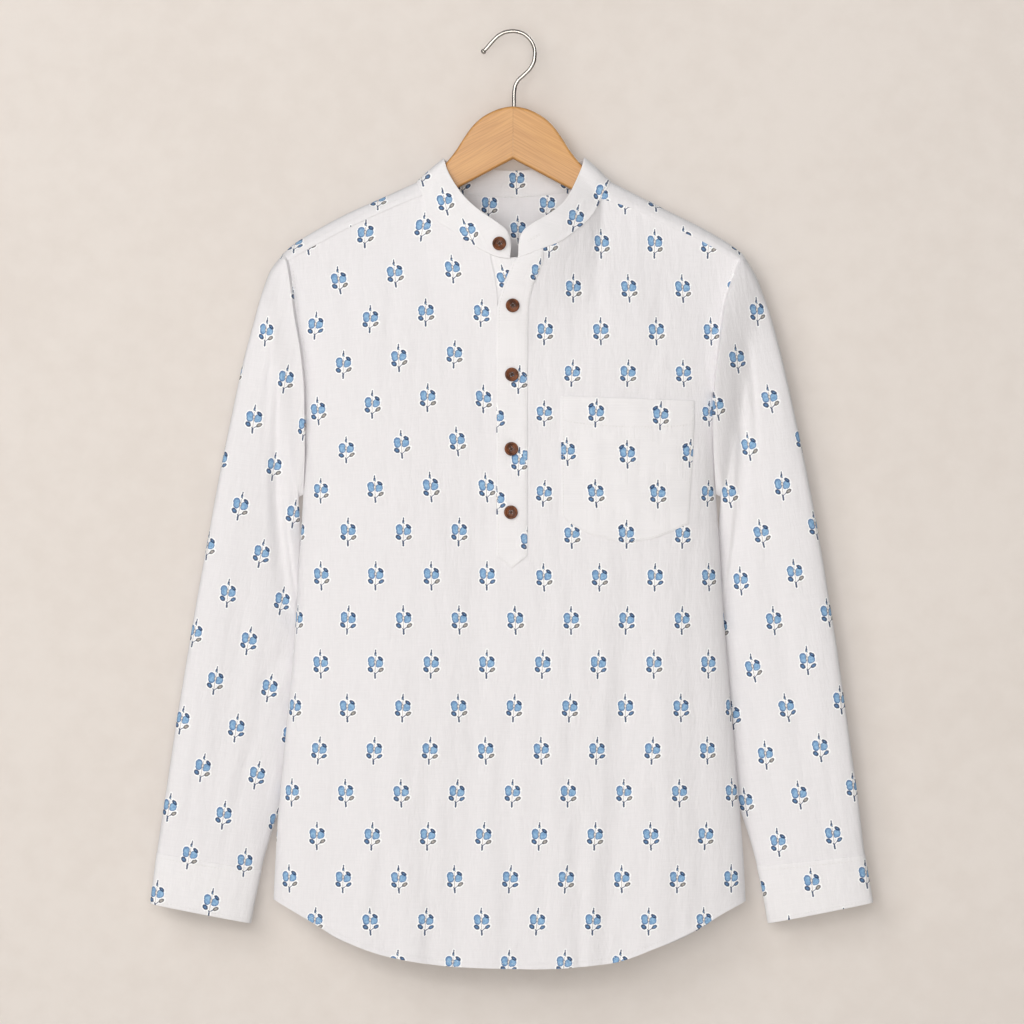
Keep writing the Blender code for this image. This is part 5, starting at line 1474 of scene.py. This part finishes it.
s = np.linspace(0, 1, 11)[None, :]
rise = np.linspace(0, 1, 101)[:, None]
z = np.broadcast_to(lerp(UNDER_STRIP_BOTTOM_Z, UNDER_STRIP_TOP_Z, rise), (rise.size, s.size))
for _ in range(SETTLE_STEPS):
    x = slot_edge(LEFT, z) - UNDER_STRIP_TUCK + UNDER_STRIP_WIDTH * s
    z = lerp(UNDER_STRIP_BOTTOM_Z, front_top(x)[0] + STRIP_TUCK, rise)
points, _ = on_front(x, z, -STRIP_OUT)
under_strip = cloth("placket_under_strip", points, corners_by_flowers(points, UNDER_FLOWERS),
                    STRIP_WALL, double_cotton, soft=0.3)
settle_piece(under_strip, "interlined_cotton", "placket_under")


# Pocket: a patch with a deep turned top hem and a curved foot, sewn on the wearer's left
# chest. Its print runs on rows of its own.
POCKET_SHOWN_WALL = 0.8
POCKET_OUT = 1.1
POCKET_HEM = 27.0
POCKET_WIDE = 125
POCKET_TALL = 130
POCKET_SIDE_LONG = 137
POCKET_SLACK = 0.5
POCKET_EDGE_DIP = 0.4
POCKET_DOUBLE = 0.25
POCKET_SIDE = [Strip(-490, 46.6, 167.6), Strip(-354, 46.1, 174.1), Strip(-350, 46.1, 174.1)]
POCKET_TOP = [Hem(46.1, -349.9), Hem(174.1, -354.2)]
POCKET_BOTTOM = [
    Hem(46.5, -465.0), Hem(63.8, -477.9), Hem(83.5, -485.6), Hem(108.0, -489.8),
    Hem(130.0, -487.7), Hem(148.4, -481.6), Hem(168.0, -472.4),
]
POCKET_FLOWERS = [
    Flower(79.7, -364.5, 0, False), Flower(141.5, -367.0, 0, False), Flower(51.8, -401.5, 0, False),
    Flower(109.4, -404.0, 0, False), Flower(170.0, -403.0, 0, False), Flower(79.2, -441.7, 0, False),
    Flower(138.8, -442.2, 0, False), Flower(108.5, -480.8, 0, False),
]
s, v = np.broadcast_arrays(np.linspace(0, 1, 61)[None, :], np.linspace(0, 1, 66)[:, None])
z = np.full(s.shape, POCKET_TOP[0].z)
for _ in range(SETTLE_STEPS):
    x = lerp(look_up(POCKET_SIDE, "z", "left", z), look_up(POCKET_SIDE, "z", "right", z), s)
    low, top = look_up(POCKET_BOTTOM, "x", "z", x), look_up(POCKET_TOP, "x", "z", x)
    z = lerp(low, top, v)
down = top - z
near_edge = np.minimum(np.minimum(s, 1 - s) * POCKET_WIDE, v * POCKET_TALL)
past_hem = down - POCKET_HEM
double = POCKET_DOUBLE * (1 - ease(past_hem / 1.5)) - POCKET_DOUBLE * np.exp(-(past_hem / 0.9) ** 2)
edge_dip = POCKET_EDGE_DIP * (1 - ease(near_edge / 3.0))
slack = POCKET_SLACK * np.sin(pi * s) * ease(v / 0.5)
points, _ = on_front(x, z, POCKET_OUT + double - edge_dip + slack + crinkle(x, z, 51, 0.16))
pocket_grid = points
pocket_patch = cloth("pocket_patch", points, corners_by_flowers(points, POCKET_FLOWERS),
                     POCKET_SHOWN_WALL, pocket_cotton, soft=0.25)
settle_piece(pocket_patch, "printed_cotton", "pocket")


# Buttons: turned brown discs with a raised rim round a shallow dish, four holes and a cross
# of thread. Four are on the placket and one on the collar's left end.
BUTTON_SEAT = 1.95
BUTTON_SIDES = 40
HOLE_AWAY = 1.55
HOLE_RADIUS = 0.72
THREAD_RADIUS = 0.33
THREAD_HEIGHT = 0.62
THREAD_OVER = 0.3
DRILL_LONG = 6
BUTTON_BACK = 1.2
BUTTON_DARK = (0.062, 0.019, 0.007, 1)
BUTTON_BROWN = (0.190, 0.058, 0.018, 1)
THREAD_BROWN = (0.060, 0.036, 0.026, 1)
Turn = namedtuple("Turn", "radius height")
BUTTON_PROFILE = [
    Turn(0.0, 0.55), Turn(3.6, 0.60), Turn(4.3, 0.80), Turn(4.7, 1.25), Turn(5.1, 1.42),
    Turn(5.8, 1.42), Turn(6.3, 1.15), Turn(6.6, 0.65), Turn(6.6, -0.2), Turn(6.3, -0.75),
    Turn(5.6, -1.05), Turn(0.0, -1.2),
]
Button = namedtuple("Button", "name x z spin")
BUTTONS = [
    Button("button_1", -0.4, -262.9, 45), Button("button_2", -1.3, -329.4, 20),
    Button("button_3", -1.7, -400.7, 32), Button("button_4", -2.1, -461.4, 3),
]
COLLAR_BUTTON = Button("button_collar", -14.0, -205.2, 38)

horn, shader, wire = new_material("brown_button", {"Specular IOR Level": 0.3})
place = wire.node("ShaderNodeTexCoord", out=3)
figure = wire.noise(place, 190.0, 4.0)
wire.blend(figure.fade(0.38, 0.66), BUTTON_DARK, BUTTON_BROWN).into(shader, "Base Color")
(figure * 0.2 + 0.34).into(shader, "Roughness")
dark_thread, _, _ = new_material("button_thread", {"Base Color": THREAD_BROWN, "Roughness": 0.8})

profile = [(turn.radius * MM, 0, turn.height * MM) for turn in BUTTON_PROFILE]
mesh = bpy.data.meshes.new("button_blank")
mesh.from_pydata(profile, [(k, k + 1) for k in range(len(profile) - 1)], [])
blank = add_object("button_blank", mesh)
turned = blank.modifiers.new("turned", "SCREW")
turned.steps = BUTTON_SIDES
turned.render_steps = BUTTON_SIDES
turned.use_merge_vertices = True
turned.merge_threshold = MERGE_NEAR
bpy.ops.object.modifier_apply(modifier="turned")
bpy.ops.object.mode_set(mode="EDIT")
bpy.ops.mesh.select_all(action="SELECT")
bpy.ops.mesh.normals_make_consistent(inside=False)
bpy.ops.object.mode_set(mode="OBJECT")


def joined(items):
    """These objects as one, with its place in its mesh."""
    pick(*items)
    bpy.ops.object.join()
    bpy.ops.object.transform_apply()
    return bpy.context.object


drills = []
for quarter in range(4):
    angle = pi / 4 + quarter * pi / 2
    bpy.ops.object.select_all(action="DESELECT")
    bpy.ops.mesh.primitive_cylinder_add(
        vertices=16, radius=HOLE_RADIUS * MM, depth=DRILL_LONG * MM,
        location=(HOLE_AWAY * cos(angle) * MM, HOLE_AWAY * sin(angle) * MM, 0))
    drills.append(bpy.context.object)
drill = joined(drills)
pick(blank)
holes = blank.modifiers.new("holes", "BOOLEAN")
holes.operation = "DIFFERENCE"
holes.object = drill
bpy.ops.object.modifier_apply(modifier="holes")
bpy.data.objects.remove(drill, do_unlink=True)
bpy.ops.object.shade_smooth_by_angle(angle=radians(35))
blank.data.materials.clear()
blank.data.materials.append(horn)

threads = []
for cross in (pi / 4, -pi / 4):
    bpy.ops.object.select_all(action="DESELECT")
    bpy.ops.mesh.primitive_cylinder_add(
        vertices=8, radius=THREAD_RADIUS * MM, depth=2 * (HOLE_AWAY + 0.2) * MM,
        location=(0, 0, (THREAD_HEIGHT + THREAD_OVER * (cross > 0)) * MM), rotation=(pi / 2, 0, cross))
    threads.append(bpy.context.object)
thread_blank = joined(threads)
thread_blank.data.materials.append(dark_thread)
bpy.ops.object.shade_smooth()

seats = []
for button in BUTTONS:
    seat, normal = on_front(np.array([button.x]), np.array([button.z]), BUTTON_SEAT)
    seats.append((button, seat[0], normal[0]))
miss = np.hypot(collar_grid[:, :, 0] - COLLAR_BUTTON.x, collar_grid[:, :, 2] - COLLAR_BUTTON.z)
miss = np.where(collar_grid[:, :, 1] < -20, miss, np.inf)
spot = np.unravel_index(np.argmin(miss), miss.shape)
normal = collar_out[spot] * (1 if collar_out[spot][1] < 0 else -1)
seats.append((COLLAR_BUTTON, collar_grid[spot] + normal * BUTTON_SEAT, normal))
for button, seat, normal in seats:
    turn = Vector(normal).to_track_quat("Z", "Y")
    for source, ending, nodes in ((blank, "_disc", [button.name]), (thread_blank, "_thread", [])):
        item = add_object(button.name + ending, source.data.copy())
        item.rotation_euler = (0, 0, radians(button.spin))
        bpy.ops.object.transform_apply()
        item.rotation_euler = turn.to_euler()
        item.location = Vector(seat + normal * BUTTON_BACK) * MM
        bpy.ops.object.transform_apply()
        settle_piece(item, "buttons", *nodes)
bpy.data.objects.remove(blank, do_unlink=True)
bpy.data.objects.remove(thread_blank, do_unlink=True)


# Stitching: rows of short white cotton stitches hold down the hems, the placket, the pocket,
# the collar and its buttonhole, the cuffs, and the armhole, neck and yoke seams.
STITCH_PITCH = 3.1
STITCH_LONG = 2.3
STITCH_HALF = 0.27
STITCH_LIFT = 0.12
STITCH_SINK = 0.1
STITCH_COLOUR = (0.80, 0.79, 0.775, 1)
BUTTONHOLE = (18.6, -198.6)
# Columns of the collar's grid whose inner face shows in the open neck
INSIDE_NECK = slice(110, 163)
stitch_white, _, _ = new_material("white_stitching", {"Base Color": STITCH_COLOUR, "Roughness": 0.75})


def stitches(name, slot, lines):
    """Short stitches along lines, each line its points and the cloth's normals there."""
    verts = []
    faces = []
    for points, normals in lines:
        steps = np.linalg.norm(np.diff(points, axis=0), axis=1)
        length = np.concatenate(([0.0], np.cumsum(steps)))
        count = int(length[-1] / STITCH_PITCH)
        middles = (np.arange(count) + 0.5) * STITCH_PITCH
        for middle in middles:
            ends = []
            for reach in (-STITCH_LONG / 2, 0, STITCH_LONG / 2):
                ends.append(np.array([np.interp(middle + reach, length, points[:, k]) for k in range(3)]))
            out = np.array([np.interp(middle, length, normals[:, k]) for k in range(3)])
            run = ends[2] - ends[0]
            beside = np.cross(run / np.linalg.norm(run), out)
            start = len(verts)
            centre = ends[1] + out * STITCH_LIFT
            verts += [ends[0] - out * STITCH_SINK, centre + beside * STITCH_HALF, centre + out * STITCH_HALF,
                      centre - beside * STITCH_HALF, centre - out * STITCH_HALF, ends[2] - out * STITCH_SINK]
            for k in range(4):
                here, after = start + 1 + k, start + 1 + (k + 1) % 4
                faces += [(start, here, after), (start + 5, after, here)]
    mesh = bpy.data.meshes.new(name)
    mesh.from_pydata((np.array(verts) * MM).tolist(), [], faces)
    bm = bmesh.new()
    bm.from_mesh(mesh)
    bmesh.ops.recalc_face_normals(bm, faces=bm.faces)
    bm.to_mesh(mesh)
    bm.free()
    mesh.materials.append(stitch_white)
    mesh.shade_smooth()
    settle_piece(add_object(name, mesh), slot)


def on_grid(grid, outward, row, column, wall):
    """A line of a grid, lifted to the cloth's outer face: a row or a column."""
    normals = grid_normals(grid, outward)
    return grid[row, column] + normals[row, column] * wall / 2, normals[row, column]


front_hem = on_grid(front_grid, (0, -1, 0), 3, slice(2, -2), SHOWN_WALL)
back_hem = on_grid(back_grid, (0, 1, 0), 3, slice(2, -2), SHOWN_WALL)
stitches("hem_stitches", "printed_cotton", [front_hem, back_hem])

turned_row = round((1 - POCKET_HEM / POCKET_SIDE_LONG) * (pocket_grid.shape[0] - 1))
pocket_lines = [
    on_grid(pocket_grid, (0, -1, 0), turned_row, slice(1, -1), POCKET_SHOWN_WALL),
    on_grid(pocket_grid, (0, -1, 0), 1, slice(1, -1), POCKET_SHOWN_WALL),
    on_grid(pocket_grid, (0, -1, 0), slice(1, None), 1, POCKET_SHOWN_WALL),
    on_grid(pocket_grid, (0, -1, 0), slice(1, None), -2, POCKET_SHOWN_WALL),
]
stitches("pocket_stitches", "printed_cotton", pocket_lines)

strip_lines = [
    on_grid(upper_grid, (0, -1, 0), slice(1, None), 1, STRIP_WALL),
    on_grid(upper_grid, (0, -1, 0), slice(1, None), -2, STRIP_WALL),
    on_grid(upper_grid, (0, -1, 0), 1, slice(1, -1), STRIP_WALL),
]
stitches("placket_stitches", "interlined_cotton", strip_lines)

collar_lines = [
    (collar_grid[row] + collar_out[row] * COLLAR_SHOWN_WALL / 2, collar_out[row]) for row in (1, -2)
]
stitches("collar_stitches", "interlined_cotton", collar_lines)

miss = np.hypot(collar_grid[:, :, 0] - BUTTONHOLE[0], collar_grid[:, :, 2] - BUTTONHOLE[1])
row, column = np.unravel_index(np.argmin(np.where(collar_grid[:, :, 1] < -20, miss, np.inf)), miss.shape)
spots = collar_grid[row, column - 9:column + 10]
outs = collar_out[row, column - 9:column + 10]
above = collar_grid[row + 1, column] - collar_grid[row, column]
above /= np.linalg.norm(above)
face = spots + outs * (COLLAR_SHOWN_WALL / 2 + 0.55)
stitches("buttonhole_stitches", "interlined_cotton", [(face + above * 0.7, outs), (face - above * 0.7, outs)])

inner_face = collar_grid[1, INSIDE_NECK] - collar_out[1, INSIDE_NECK] * (COLLAR_SHOWN_WALL / 2 - 0.1)
stitches("neck_seam_stitches", "interlined_cotton", [(inner_face, -collar_out[1, INSIDE_NECK])])

pit_row = np.argmin(np.abs(front_grid[:, 0, 2] - ARMPIT_Z))
seam_lines = [
    on_grid(front_grid, (0, -1, 0), slice(pit_row, -2), 3, SHOWN_WALL),
    on_grid(front_grid, (0, -1, 0), slice(pit_row, -2), -4, SHOWN_WALL),
    on_grid(back_grid, (0, 1, 0), -3, slice(3, -3), SHOWN_WALL),
    on_grid(yoke_grid, (0, 1, 0), 2, slice(1, YOKE_SIDE - 2), SHOWN_WALL),
    on_grid(yoke_grid, (0, 1, 0), 2, slice(YOKE_SIDE + YOKE_MIDDLE + 2, -1), SHOWN_WALL),
]
stitches("seam_stitches", "printed_cotton", seam_lines)

for side, name in ((LEFT, "left"), (RIGHT, "right")):
    cuff_lines = []
    for way, rings in zip((-1, 1), sleeve_rings(side, np.array([CUFF_START + 0.022, CUFF_END - 0.025]))):
        outs = np.tile([0.0, way, 0.0], (HALF_RING - 5, 1))
        for ring in rings:
            cuff_lines.append((ring[3:-3] + outs * CUFF_SHOWN_WALL / 2, outs))
    stitches("cuff_stitches_" + name, "interlined_cotton", cuff_lines)
